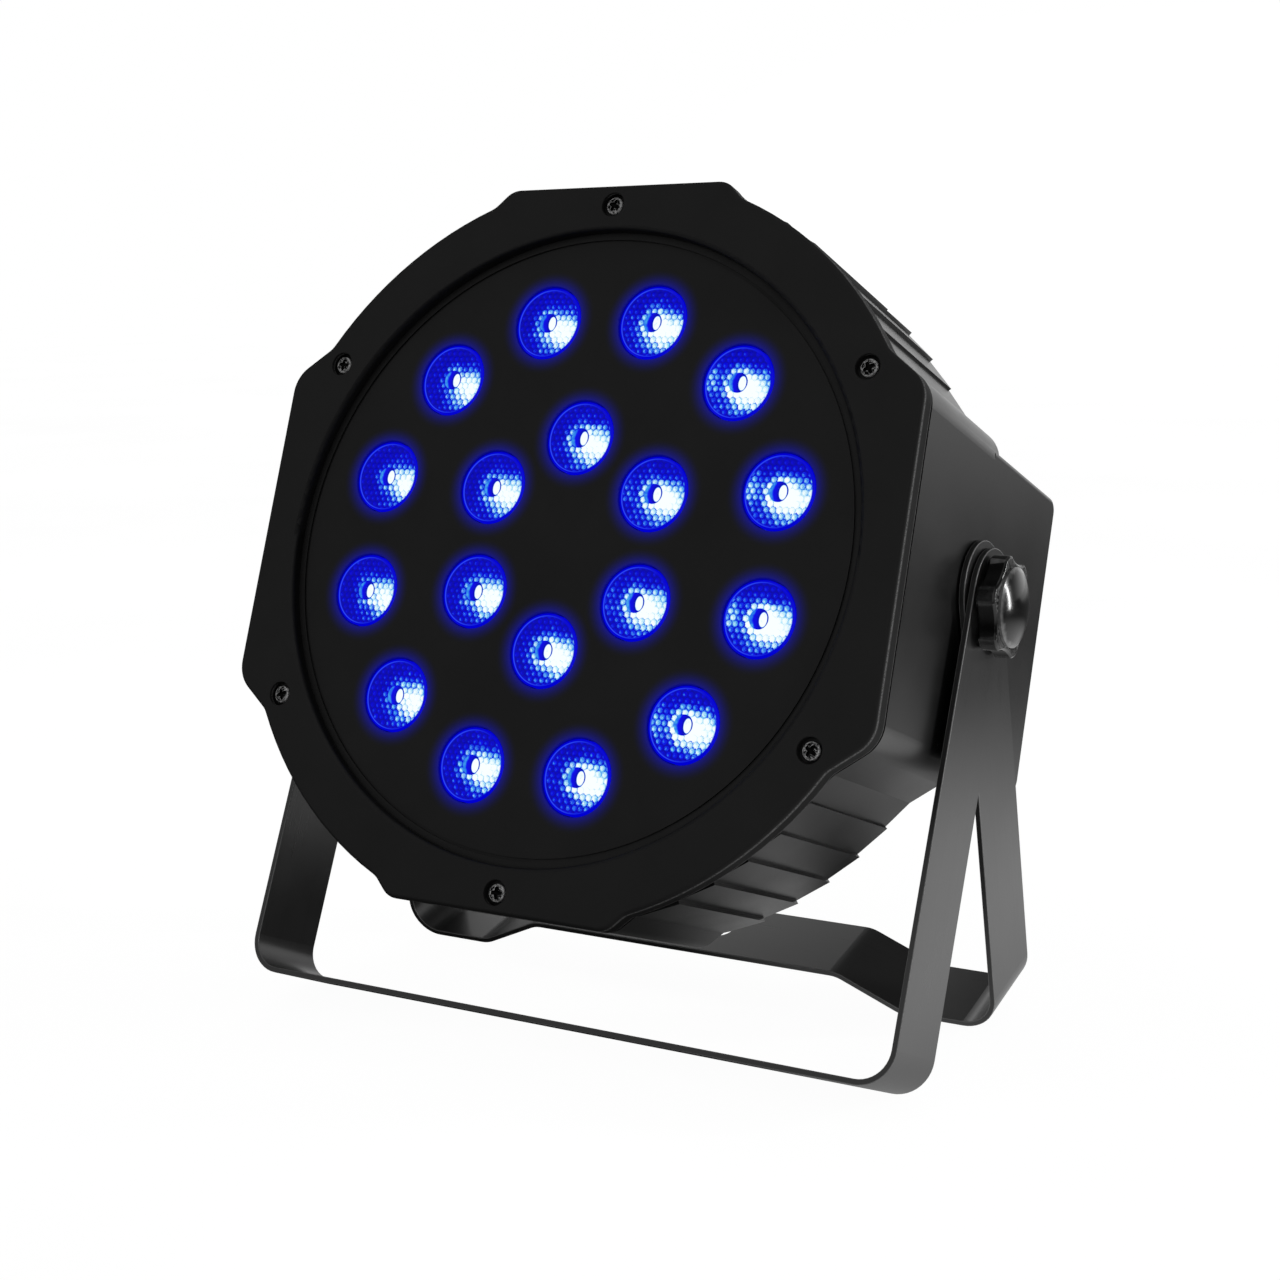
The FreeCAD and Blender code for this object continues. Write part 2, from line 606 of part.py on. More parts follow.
def make_housing_parts():
    add_head("rear_housing", make_housing())
    add_head("rear_panel", make_rear_panel())
    add_head("panel_screws", [rear_screw(x, z, BAND_REAR, 10.0, 1.5, 2.8, 1.8)
                              for x, z in PANEL_SCREWS])
    add_head("dmx_in_socket", make_dmx_in())
    add_head("dmx_in_pins", [rod_y(x, z, 1.18, BAND_REAR - 27, BAND_REAR - 2.5)
                             for x, z in dmx_contacts(DMX_IN_X)])
    add_head("dmx_out_socket", make_dmx_out())
    sleeves = [ring_y(x, z, 1.38, 1.1, BAND_REAR - 11.8, BAND_REAR - 1)
               for x, z in dmx_contacts(DMX_OUT_X)]
    add_head("dmx_out_contacts", sleeves)
    add_head("dmx_release_tab", make_release_tab())
    add_head("power_inlet", make_inlet())
    add_head("power_inlet_pins", [box(x - 0.98, x + 0.98, BAND_REAR - 30, BAND_REAR - 2,
                                      z - 1.98, z + 1.98) for x, z in inlet_pins()])
    add_head("fuse_drawer", make_fuse_drawer())
    fuse = rod_x(INLET_X - 10.0, INLET_X + 10.0, 2.5, BAND_REAR - 15.0, -9.9)
    add_head("fuse", fuse)
    seats = [BAND_REAR + 2.2] * 4 + [BAND_REAR + 2.5] * 2
    add_head("socket_screws", [rear_screw(x, z, seat, 8.0, 1.5, 2.6, 1.5)
                               for (x, z), seat in zip(socket_screw_spots(), seats)])
    add_head("threaded_inserts", both_sides(make_insert()))
    add_head("friction_pads", both_sides(
        ring_x(SIDE - BODY_INSET, REAR_LEG_IN - 0.03, 12.0, STUD_R + 0.3, PIVOT_Y, PIVOT_Z)))
    add_head("safety_eye", make_safety_eye())


def make_insert():
    body = rod_x(81.0, SIDE - BODY_INSET, 4.95, PIVOT_Y, PIVOT_Z)
    groove = ring_x(86.0, 88.0, 6.0, 4.3, PIVOT_Y, PIVOT_Z)
    return body.cut(groove).cut(rod_x(80.0, SIDE + 1, STUD_R + STUD_CLEAR, PIVOT_Y, PIVOT_Z))


def make_safety_eye():
    """Steel ring on a threaded stud in the back of the drum, for a safety cable."""
    stem = rod_y(0, EYE_Z, 2.0, DRUM_REAR - 8, DRUM_REAR + 4)
    collar = rod_y(0, EYE_Z, 4.5, DRUM_REAR + 0.02, DRUM_REAR + 1.6)
    loop = Part.makeTorus(7.5, 1.8, vec(0, DRUM_REAR + 10.4, EYE_Z), X_AXIS)
    return union([stem, collar, loop])


# ---------------------------------------------------------------- inside the head
def make_fan_frame():
    h = FAN_SIZE / 2
    body = rounded_box(-h, h, FAN_Y, FAN_Y + FAN_T, -h, h, 4.0)
    body = body.cut(rod_y(0, 0, FAN_BORE_R, FAN_Y - 1, FAN_Y + FAN_T + 1))
    body = body.cut([rod_y(x, z, 1.7, FAN_Y - 1, FAN_Y + FAN_T + 1) for x, z in FAN_SCREWS])
    rear = FAN_Y + FAN_T
    motor = rod_y(0, 0, 12.0, rear - 3.5, rear)
    struts = []
    for i in range(4):
        strut = box(10.0, FAN_BORE_R + 0.5, rear - 2.5, rear, -1.5, 1.5)
        strut.rotate(ORIGIN, Y_AXIS, 20 + 90 * i)
        struts.append(strut)
    body = union([body, motor] + struts)
    return body.cut(rod_y(0, 0, 1.56, rear - 10, rear + 1))


def make_fan_rotor():
    y0, y1 = FAN_Y + 1.0, FAN_Y + FAN_T - 4.0
    hub = rod_y(0, 0, FAN_HUB_R, y0, y1)
    hub = hub.makeFillet(1.5, [e for e in hub.Edges if abs(e.CenterOfMass.y - y0) < 1e-6])
    swept = ring_y(0, 0, FAN_BORE_R - 0.8, FAN_HUB_R - 0.6, y0 + 0.6, y1 - 0.2)
    blades = []
    for i in range(FAN_BLADES):
        blade = box(5.0, FAN_BORE_R + 5, -8.0, 8.0, -0.8, 0.8)
        blade.rotate(ORIGIN, X_AXIS, 48.0)
        blade.translate(vec(0, (y0 + y1) / 2, 0))
        blade.rotate(ORIGIN, Y_AXIS, 360.0 * i / FAN_BLADES)
        blades.append(blade.common(swept))
    shaft = rod_y(0, 0, 1.5, y1 - 1, FAN_Y + FAN_T - 0.5)
    return union([hub, shaft] + blades)


def upright(r, h, x, y, z):
    """A round component of radius r standing forward from a board at depth y."""
    return rod_y(x, z, r, y - h, y)


def make_power_parts():
    y = 46.5
    add_head("power_board", box(-31, 31, y, y + BOARD_T, -79, -39).cut(
        [rod_y(x, z, 1.6, y - 1, y + 5) for x, z in POWER_STANDS]))
    transformer = union([box(-8, 12, y - 13, y - 0.02, -66, -48), box(-11, 15, y - 10.5, y - 2.5, -64, -50)])
    parts = [transformer, box(-26, -16, y - 10, y - 0.02, -73, -60), box(17, 24, y - 8, y - 0.02, -54, -46)]
    parts += [upright(4.9, 12.0, -19.0, y - 0.02, -49.0), upright(3.9, 11.0, 21.0, y - 0.02, -64.0)]
    parts += [upright(3.9, 11.0, 13.0, y - 0.02, -72.0)]
    add_head("power_components", parts)
    add_head("driver_board", box(-31, 31, y, y + BOARD_T, 39, 54).cut(
        [rod_y(x, z, 1.6, y - 1, y + 5) for x, z in DRIVER_STANDS]))
    chips = [box(x - 4, x + 4, y - 2.5, y - 0.02, 42, 51) for x in (-17.0, -6.0, 6.0, 17.0)]
    add_head("driver_components", chips)
    stands = [rod_y(x, z, 3.0, y + BOARD_T, DRUM_REAR - WALL) for x, z in POWER_STANDS + DRIVER_STANDS]
    add_head("board_standoffs", stands)
    add_head("board_screws", [pan_screw(x, z, y, BOARD_T - 0.02, 1.5, 2.6, 1.4)
                              for x, z in POWER_STANDS + DRIVER_STANDS])


def make_control_parts():
    board_y = BAND_REAR - 10.9
    board = box(DISPLAY_X - 28, DISPLAY_X + 26, board_y, board_y + BOARD_T, -22, 26)
    add_head("control_board", board)
    module = box(DISPLAY_X - 18, DISPLAY_X + 18, board_y + BOARD_T, BAND_REAR - PANEL_T - 0.1,
                 DISPLAY_Z - 9.5, DISPLAY_Z + 9.5)
    add_head("display_module", module)
    window = rounded_box(DISPLAY_X - 17, DISPLAY_X + 17, BAND_REAR - PANEL_T, BAND_REAR + 0.2,
                         DISPLAY_Z - 8, DISPLAY_Z + 8, 1.0)
    add_head("display_window", window)
    switch_top = board_y + BOARD_T + 3.4
    add_head("button_switches", [box(x - 3, x + 3, board_y + BOARD_T, switch_top, BUTTON_Z - 3, BUTTON_Z + 3)
                                 for x in button_xs()])
    for name, x in zip(BUTTON_NAMES, button_xs()):
        cap = rod_y(x, BUTTON_Z, BUTTON_R, switch_top + 0.7, BAND_REAR + 1.6)
        rim = [e for e in cap.Edges if abs(e.CenterOfMass.y - (BAND_REAR + 1.6)) < 1e-6]
        cap = cap.makeFillet(0.6, rim)
        flange = rod_y(x, BUTTON_Z, BUTTON_R + 1.2, switch_top + 0.7, BAND_REAR - PANEL_T - 0.3)
        add_head(name, union([cap, flange]))


def make_wiring():
    """Two insulated leads inside the head, from the mains inlet to the supply board."""
    rear = BAND_REAR
    leads = []
    for dx in (-7.0, 7.0):
        x = INLET_X + dx
        end_x = -33.0 - dx / 2
        route = [(x, rear - 30.2, 4.2), (x, 62, 4.2), (x, 62, -30), (x, 43, -30),
                 (end_x, 43, -30), (end_x, 43, -37.0)]
        leads.append(bent_wire(route, 1.0, 3.0))
    return leads


def make_inside():
    add_head("fan_frame", make_fan_frame())
    add_head("fan_rotor", make_fan_rotor())
    add_head("fan_screws", [rear_screw(x, z, FAN_Y + FAN_T, 30.0, 1.5, 2.8, 1.8)
                            for x, z in FAN_SCREWS])
    make_power_parts()
    make_control_parts()
    add_head("mains_leads", make_wiring())


# ---------------------------------------------------------------- brackets and knobs
def strap_limit(length, past):
    """Room for a strap whose top ends are half round, centred just past the tilt axis."""
    half = STRAP_W / 2
    legs = box(-BIG, BIG, -half, half, -length - 5, past)
    return union([legs, rod_x(-BIG, BIG, half, 0, past)])


def make_front_bracket():
    x = FRONT_LEG_IN + SHEET_T / 2
    z = -(FRONT_LENGTH - SHEET_T / 2)
    path = [(-x, 20), (-x, z), (x, z), (x, 20)]
    sheet = bent_sheet(path, BEND_R, SHEET_T, STRAP_W).common(strap_limit(FRONT_LENGTH, FRONT_PAST))
    return sheet.cut(rod_x(-BIG, BIG, STUD_R + STUD_CLEAR))


def make_rear_bracket():
    x = REAR_LEG_IN + SHEET_T / 2
    foot = -(REAR_LENGTH - SHEET_T / 2)
    raised = foot + RAISE_H
    right = [(RAISE_HALF, raised), (FOOT_INNER, foot), (x, foot), (x, 20)]
    left = [(-px, pz) for px, pz in reversed(right)]
    sheet = bent_sheet(left + right, BEND_R, SHEET_T, STRAP_W).common(strap_limit(REAR_LENGTH, REAR_PAST))
    clamp_hole = Part.makeCylinder(CLAMP_HOLE_R, 30, vec(CLAMP_HOLE_X, 0, raised - 15), Z_AXIS)
    return sheet.cut(rod_x(-BIG, BIG, STUD_R + STUD_CLEAR)).cut(clamp_hole)


def knob_outline():
    """Six rounded tips joined by hollow scallops, in the YZ plane."""
    edges = []
    for i in range(6):
        tip = 60.0 * i
        points = []
        for r, a in ((KNOB_R, -9), (KNOB_R + 0.25, 0), (KNOB_R, 9), (KNOB_WAIST_R, 30), (KNOB_R, 51)):
            y, z = polar(r, tip + a)
            points.append(vec(0, y, z))
        edges.append(Part.Arc(*points[:3]).toShape())
        edges.append(Part.Arc(*points[2:]).toShape())
    return Part.Wire(Part.__sortEdges__(edges))


def make_knob():
    """Star knob for the right side, on the tilt axis, with a seat for its cap and washer."""
    face = Part.Face(knob_outline())
    body = face.extrude(vec(KNOB_T, 0, 0))
    body.translate(vec(KNOB_SEAT, 0, 0))
    rims = [e for e in body.Edges
            if abs(e.BoundBox.XMin - e.BoundBox.XMax) < 1e-6]
    body = body.makeFillet(0.7, rims)
    cut = [rod_x(KNOB_SEAT + KNOB_T - 0.8, KNOB_SEAT + KNOB_T + 5, CAP_R + 0.05)]
    cut.append(rod_x(KNOB_SEAT - 1, KNOB_SEAT + KNOB_T + 1, STUD_R + 0.02))
    cut.append(rod_x(KNOB_SEAT - 1, KNOB_SEAT + 1.0, 7.1))
    return body.cut(cut)


def make_knob_cap():
    """Domed cap let into the knob's outer face."""
    base = KNOB_SEAT + KNOB_T - 0.75
    dome_r = (CAP_R ** 2 + CAP_H ** 2) / (2 * CAP_H)
    top = base + 1.4 + CAP_H
    dome = Part.makeSphere(dome_r, vec(top - dome_r, 0, 0))
    return dome.common(rod_x(base, top + 1, CAP_R))


def make_brackets():
    nodes["front_bracket"] = set_bracket(make_front_bracket(), -FRONT_SPLAY)
    shim = ring_x(REAR_LEG_IN + SHEET_T + 0.03, FRONT_LEG_IN, 10.0, STUD_R + 0.3)
    nodes["bracket_shims"] = set_bracket(Part.Compound(both_sides(shim)), -FRONT_SPLAY)
    nodes["rear_bracket"] = set_bracket(make_rear_bracket(), REAR_SPLAY)
    washer = ring_x(FRONT_LEG_IN + SHEET_T + 0.03, KNOB_SEAT + 0.95, 7.0, STUD_R + 0.1)
    stud = rod_x(83.0, KNOB_SEAT + KNOB_T - 0.8, STUD_R)
    pieces = {"knob": make_knob(), "knob_cap": make_knob_cap(), "knob_stud": stud,
              "knob_washer": washer}
    for name, shape in pieces.items():
        right, left = both_sides(shape)
        nodes["right_" + name] = set_bracket(right, -HEAD_TILT)
        nodes["left_" + name] = set_bracket(left, -HEAD_TILT)


# ---------------------------------------------------------------- build and write
def centre_depth():
    """Shift along Y that puts the origin at the middle of the whole object's depth."""
    bounds = [shape.optimalBoundingBox(False, False) for shape in nodes.values()]
    return -(min(b.YMin for b in bounds) + max(b.YMax for b in bounds)) / 2


make_front()
make_housing_parts()
make_inside()
make_brackets()

shift_y = centre_depth()
os.makedirs("parts", exist_ok=True)
for node_name, node_shape in nodes.items():
    node_shape.translate(vec(0, shift_y, 0))
    node_shape.exportStep("parts/" + node_name + ".step")
print("tilt axis at y", round(shift_y, 4), "z", round(AXIS_HEIGHT, 4))
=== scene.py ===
import json
import math

import bmesh
import bpy
import numpy as np
from mathutils import Matrix, Vector


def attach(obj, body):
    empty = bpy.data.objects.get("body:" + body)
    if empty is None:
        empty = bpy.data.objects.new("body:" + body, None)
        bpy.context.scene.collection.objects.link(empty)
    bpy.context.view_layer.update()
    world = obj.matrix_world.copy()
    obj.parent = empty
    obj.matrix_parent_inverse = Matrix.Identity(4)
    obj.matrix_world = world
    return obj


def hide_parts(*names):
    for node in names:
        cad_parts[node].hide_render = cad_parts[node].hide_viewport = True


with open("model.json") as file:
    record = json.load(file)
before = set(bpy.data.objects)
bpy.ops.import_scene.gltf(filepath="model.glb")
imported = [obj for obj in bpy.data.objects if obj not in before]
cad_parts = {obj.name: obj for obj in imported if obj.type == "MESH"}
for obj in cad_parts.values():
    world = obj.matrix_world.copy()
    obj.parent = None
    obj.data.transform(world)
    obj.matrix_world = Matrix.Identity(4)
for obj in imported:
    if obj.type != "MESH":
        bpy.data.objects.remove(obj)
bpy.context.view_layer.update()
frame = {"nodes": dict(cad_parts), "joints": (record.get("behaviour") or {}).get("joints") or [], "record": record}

MM = 0.001
nodes = frame["nodes"]
joints = {j["name"]: j for j in frame["joints"]}

# The head's own axes: X right, Y to the rear, Z up, from the middle of its front face.
FAN_DEPTH = 41.0 * MM
tilt_axis = Vector(joints["front_bracket_tilt"]["pos_m"])
head_x = Vector((1, 0, 0))
head_y = Vector(joints["fan_spin"]["axis"]).normalized()
head_z = head_x.cross(head_y)
head_origin = Vector(joints["fan_spin"]["pos_m"]) - FAN_DEPTH * head_y
HEAD_LEAN = math.atan2(head_y.z, head_y.y)

# How far each bracket's legs swing out from upright.
FRONT_SPLAY = math.radians(-24.5)
REAR_SPLAY = math.radians(12.749)


def axes_matrix(x, y, z, origin):
    """The matrix whose columns are three axes and an origin."""
    matrix = Matrix.Identity(4)
    for column, axis in enumerate((x, y, z, origin)):
        for row in range(3):
            matrix[row][column] = axis[row]
    return matrix


HEAD = axes_matrix(head_x, head_y, head_z, head_origin)

# Lenses, in mm. Each ring of them is a radius, a count and the first one's angle in degrees.
OUTER_RING = (61.3, 12, 15.0)
INNER_RING = (28.1, 6, 30.0)
LENS_RINGS = (OUTER_RING, INNER_RING)
LENS_FRONT = 3.6                 # depth of the lens's front below the bezel's face
LENS_SEGMENTS = 120
RING_STEP = 0.2                  # between the rings of vertices on the front
BEAD_PITCH = 1.75
BEAD_FIELD = (2.65, 8.85)        # beads lie between these radii
BEAD_RISE = 0.26
BEAD_REACH = 0.55                # radius of a bead's dome, as a share of the pitch
BEAD_FADE = 0.3                  # the beads rise over this width at the middle
MIDDLE_R = 2.5                   # smooth middle, with a groove from here to the beads
LENS_EDGE = [(8.95, LENS_FRONT - 0.02), (9.05, LENS_FRONT - 0.16), (9.2, LENS_FRONT - 0.16),
             (9.3, LENS_FRONT), (9.6, LENS_FRONT), (9.72, LENS_FRONT + 0.08),
             (9.75, LENS_FRONT + 0.2)]
LENS_BACK = [(9.75, 5.4), (9.15, 5.4), (3.4, 13.6), (2.7, 13.6), (2.7, 11.0), (0.0, 11.0)]

# Bezel screws, in mm.
SCREW_SPOTS = [(0.0, 90.4), (0.0, -90.4)]
SCREW_SPOTS += [(sx * 79.3, sz * 46.6) for sx in (1, -1) for sz in (1, -1)]
SCREW_TOP = 0.4
SCREW_R = 2.3
SCREW_CROWN = 0.62               # the head falls this much from its middle to its edge
SCREW_SEGMENTS = 96
SCREW_STEP = 0.11
DOME_END = 2.21
SCREW_SIDE = [(2.28, 1.15), (SCREW_R, 1.35), (SCREW_R, 2.0), (1.5, 2.0), (1.5, 16.0), (0.0, 16.0)]
CROSS_LENGTH = 1.75
CROSS_HALF_WIDTH = 0.66
CROSS_DEPTH = 1.15

# The bezel's painted highlight lines and painted shade, in mm. Pairs hold where a look starts and where it is
# full.
RIM_FADE = (92.0, 93.0)          # radius that the painted highlight lines and the strip lie outside
WALL_FADE = (84.4, 83.9)         # radius of the window's wall, which is painted black as shade
WALL_DEPTH = (0.15, 0.5)
FRONT_LINE = 0.95                # depth of the front highlight line's middle
LINE_HALF_WIDTH = (0.15, 0.45)
REAR_LINE = (4.45, 4.7)
STRIP_START = (1.3, 1.7)
STRIP_END = (4.5, 4.3)
STRIP_METAL = 0.75

# Ranges of a noise that are stretched to the whole: even, wide, and for stains and for breaks in painted
# highlights.
EVEN = (0.35, 0.65)
WIDE = (0.3, 0.7)
STAIN_AND_SHEEN = (0.35, 0.60)

# The look of the surfaces.
FINE_BUMP = 0.05 * MM
# where the knob's painted edge highlights start and where they are full
KNOB_EDGE = (0.508, 0.54)        # pointiness of the knob's edges
STREAKS = (60.0, 0.45, 60.0)     # size in mm of the brackets' streaks
STREAK_PATCH = 30.0
PURE_BLUE = (0.0, 0.0, 1.0, 1.0)
GLOW_FADE = (9.6, 14.6)          # mm from a lens's middle
GLOW_POWER = 2.8
GLOW_STRENGTH = 0.26
WORLD_WHITE = (1, 1, 1, 1)

# A lit lens's painted light, in mm from its middle: a hot area, a collar and the emitter's image, painted fixed on
# each lens.
# Pairs named "of" a side or a height hold the values for the lenses furthest left and right, or lowest and
# highest.
LENS_SPAN = 60.0
HOT_X_OF_SIDE = (6.2, 4.2)
HOT_WIDTH_OF_SIDE = (5.8, 9.2)
HOT_Z_OF_HEIGHT = (-1.2, -2.8)
HOT_HEIGHT = 6.4
COLLAR_FADE = (3.4, 5.4)
COLLAR_OF_SIDE = (0.17, 0.36)
BEAD_GAP = (0.52, 0.86)          # mm from a bead's middle
IMAGE_X = 1.1                    # the painted white image of the emitter, right of the middle
IMAGE_DROP = 0.1                 # and below it
IMAGE_SIZE = (1.1, 1.9)
MIDDLE_FADE = (2.55, 2.68)
RIM_BLUE = (8.75, 8.95)
RIM_LINE = 9.05

# Modifiers.
WELD_DISTANCE = 0.001 * MM
FLAT_ANGLE = math.radians(0.6)
BEVEL_ANGLE = math.radians(40)
# Width in mm of the rounding on each piece that gets even shading.
SOFTENED = {"front_bracket": 0.22, "rear_bracket": 0.22, "rear_housing": 0.3, "rear_panel": 0.2,
            "front_bezel": 0.0}

# The camera: a lens in mm, and a place and axes in metres from the middle of the head's face.
CAMERA_SENSOR = 36.0
CAMERA_LENS = 57.967
CAMERA_PLACE = (0.28242, -0.43989, 0.06358)
CAMERA_RIGHT = (0.8641, 0.5031, -0.0171)
CAMERA_UP = (-0.0707, 0.1549, 0.9854)

# Lamps: a place, a point aimed at, width and height in metres, and power in watts.
LAMPS = {"side_strip": ((0.97, 0.50, 0.30), (0.1, 0, 0.12), 0.05, 0.60, 4.0),
         "crossbar_light": ((-0.30, 0.47, 0.33), (0.0, 0.04, 0.01), 0.30, 0.16, 0.22)}
FLOOR_R = 12.0
FLOOR_SEGMENTS = 96


# ---------------------------------------------------------------- materials
class Nodes:
    """Short hand for building one node material."""

    def __init__(self, name):
        self.material = bpy.data.materials.new(name)
        self.material.use_nodes = True
        self.tree = self.material.node_tree
        self.shader = self.tree.nodes["Principled BSDF"]

    def add(self, kind, **inputs):
        node = self.tree.nodes.new(kind)
        for key, value in inputs.items():
            self.put(node, key, value)
        return node

    def put(self, node, key, value):
        """Give an input, by its name or by its number, a value or a link."""
        socket = node.inputs[key]
        if isinstance(value, bpy.types.NodeSocket):
            self.tree.links.new(value, socket)
        else:
            socket.default_value = value

    def paint(self, key, value):
        """Give one of the shader's own inputs a value or a link."""
        self.put(self.shader, key, value)

    def math(self, operation, a, b=0.0, c=None, clamp=False):
        node = self.tree.nodes.new("ShaderNodeMath")
        node.operation = operation
        node.use_clamp = clamp
        self.put(node, 0, a)
        self.put(node, 1, b)
        if c is not None:
            self.put(node, 2, c)
        return node.outputs[0]

    def times(self, a, b):
        return self.math("MULTIPLY", a, b)

    def plus(self, a, b):
        return self.math("ADD", a, b)

    def minus(self, a, b):
        return self.math("SUBTRACT", a, b)

    def over(self, a, b):
        return self.math("DIVIDE", a, b)

    def most(self, a, b):
        return self.math("MAXIMUM", a, b)

    def gain(self, a, factor, b):
        """a times a factor, added to b."""
        return self.math("MULTIPLY_ADD", a, factor, b)

    def length(self, a, b):
        return self.math("SQRT", self.plus(self.times(a, a), self.times(b, b)))

    def away(self, a, b):
        """The distance between two numbers."""
        return self.math("ABSOLUTE", self.minus(a, b))

    def toss(self, a, b, salt):
        """A random number for each pair a, b."""
        seed = self.add("ShaderNodeCombineXYZ", X=a, Y=salt, Z=b)
        return self.add("ShaderNodeTexWhiteNoise", Vector=seed.outputs[0]).outputs["Value"]

    def noise(self, vector, scale, detail=3.0, rough=0.55):
        node = self.add("ShaderNodeTexNoise", Vector=vector, Scale=scale, Detail=detail,
                        Roughness=rough)
        return node.outputs["Fac"]

    def remap(self, value, low, high, to_low=0.0, to_high=1.0, smooth=False):
        node = self.tree.nodes.new("ShaderNodeMapRange")
        node.interpolation_type = "SMOOTHSTEP" if smooth else "LINEAR"
        for key, v in zip(("Value", "From Min", "From Max", "To Min", "To Max"),
                          (value, low, high, to_low, to_high)):
            self.put(node, key, v)
        return node.outputs[0]

    def fade(self, value, low, high, to_low=0.0, to_high=1.0):
        """A remap that eases in and out."""
        return self.remap(value, low, high, to_low, to_high, smooth=True)

    def mix(self, factor, a, b):
        node = self.tree.nodes.new("ShaderNodeMix")
        node.data_type = "RGBA"
        # the colour sockets of a Mix node are its seventh and eighth
        for key, value in ((0, factor), (6, a), (7, b)):
            self.put(node, key, value)
        return node.outputs[2]

    def ramp(self, value, stops):
        node = self.tree.nodes.new("ShaderNodeValToRGB")
        element = node.color_ramp.elements
        while len(element) < len(stops):
            element.new(0.5)
        for e, (at, colour) in zip(element, stops):
            e.position = at
            e.color = (*colour, 1.0)
        self.put(node, "Fac", value)
        return node.outputs["Color"]

    def split(self, vector):
        return self.add("ShaderNodeSeparateXYZ", Vector=vector).outputs

    def carried(self, name):
        """A pair of numbers that comes with the mesh as a UV map."""
        node = self.tree.nodes.new("ShaderNodeUVMap")
        node.uv_map = name
        return node.outputs["UV"]

    def place(self, origin, lean, stretch=(1, 1, 1)):
        """Coordinates in millimetres in a frame turned by lean about X."""
        source = self.tree.nodes.new("ShaderNodeTexCoord").outputs["Object"]
        node = self.tree.nodes.new("ShaderNodeMapping")
        node.vector_type = "TEXTURE"
        self.put(node, "Vector", source)
        self.put(node, "Location", tuple(origin))
        self.put(node, "Rotation", (lean, 0, 0))
        self.put(node, "Scale", tuple(MM * s for s in stretch))
        return node.outputs["Vector"]

    def head(self):
        return self.place(head_origin, HEAD_LEAN)

    def bump(self, height, strength):
        node = self.add("ShaderNodeBump", Height=height, Strength=strength, Distance=FINE_BUMP)
        self.paint("Normal", node.outputs["Normal"])


def grey(value):
    return (value, value, value, 1.0)


def finish(name, low, high, rough, grain, grain_strength, specular=0.5, metallic=0.0,
           blotch=25.0, rough_swing=0.08):
    """A finish between two colours: slow colour change, fine grain and uneven gloss.

    Grain and blotch are the sizes in mm of the fine and the slow change.
    """
    n = Nodes(name)
    space = n.head()
    slow = n.noise(space, 1.0 / blotch, 3.0, 0.6)
    fine = n.noise(space, 1.0 / grain, 4.0, 0.6)
    blend = n.plus(n.times(slow, 0.7), n.times(fine, 0.3))
    n.paint("Base Color", n.mix(n.remap(blend, *EVEN), low, high))
    gloss = n.plus(slow, n.times(fine, 0.4))
    n.paint("Roughness", n.remap(gloss, 0.4, 0.95, rough - rough_swing, rough + rough_swing))
    n.paint("Metallic", metallic)
    n.paint("Specular IOR Level", specular)
    n.bump(fine, grain_strength)
    return n


def paint_edge_highlights(n, low, high, colour, speckle):
    """Painted highlights on convex edges: a paler tone where the surface turns sharply outward, broken by noise.
    """
    sharp = n.tree.nodes.new("ShaderNodeNewGeometry").outputs["Pointiness"]
    patchy = n.remap(n.noise(n.head(), 1.0 / speckle, 2.0), *STAIN_AND_SHEEN, 0.35, 1.0)
    mask = n.times(n.remap(sharp, low, high), patchy)
    base = n.shader.inputs["Base Color"].links[0].from_socket
    n.paint("Base Color", n.mix(mask, base, colour))


def bezel_rim(n):
    """Painted highlight lines on the bezel's outer edge, a dark strip between, and a window wall painted black as
    shade.
    """
    x, depth, z = n.split(n.head())
    r = n.length(x, z)
    outside = n.remap(r, *RIM_FADE)
    line_breaks = n.remap(n.noise(n.head(), 1 / 0.35, 3.0), *STAIN_AND_SHEEN)

    # painted highlights: pale lines along the front rounding and near the rear edge, broken by noise
    front_line = n.fade(n.away(depth, FRONT_LINE), *LINE_HALF_WIDTH, 1.0, 0.0)
    rear_line = n.fade(depth, *REAR_LINE, 0.0, 0.7)
    line = n.times(n.times(n.most(front_line, rear_line), line_breaks), outside)
    colour = n.shader.inputs["Base Color"].links[0].from_socket
    colour = n.mix(line, colour, grey(0.13))

    # painted shade: the window's wall is coloured near black
    wall = n.times(n.remap(r, *WALL_FADE), n.remap(depth, *WALL_DEPTH))
    n.paint("Base Color", n.mix(wall, colour, grey(0.0008)))

    # the strip's metal tone takes away the pale sheen of a plastic at a low angle
    strip = n.times(n.remap(depth, *STRIP_START), n.remap(depth, *STRIP_END))
    n.paint("Metallic", n.times(n.times(strip, outside), STRIP_METAL))


def make_screw_material():
    """Zinc, pale at the recess's lip and the head's edge and dark elsewhere, with painted shade: the recess turns
    black deeper down. The recess depth comes with the mesh.
    """
    n = Nodes("screw_head")
    depth, radius, _ = n.split(n.carried("recess"))
    stain = n.noise(n.head(), 1 / 0.5, 3.0)
    lip = n.times(n.remap(depth, 0.0, 0.05), n.fade(depth, 0.16, 0.34, 1.0, 0.0))
    bright = n.most(lip, n.fade(radius, 1.70, 2.10))
    pale_metal = n.most(n.times(bright, n.remap(stain, *STAIN_AND_SHEEN, 0.15, 1.0)),
                   n.remap(stain, 0.52, 0.62, 0.0, 0.6))
    # painted shade: deeper in the recess the head goes black
    pale_metal = n.times(pale_metal, n.fade(depth, 0.12, 0.32, 1.0, 0.0))
    n.paint("Base Color", n.mix(pale_metal, grey(0.002), grey(0.95)))
    n.paint("Metallic", n.remap(pale_metal, 0.0, 0.5, 0.92, 0.15))
    n.paint("Roughness", n.remap(stain, *WIDE, 0.25, 0.45))
    n.bump(stain, 0.15)
    return n.material


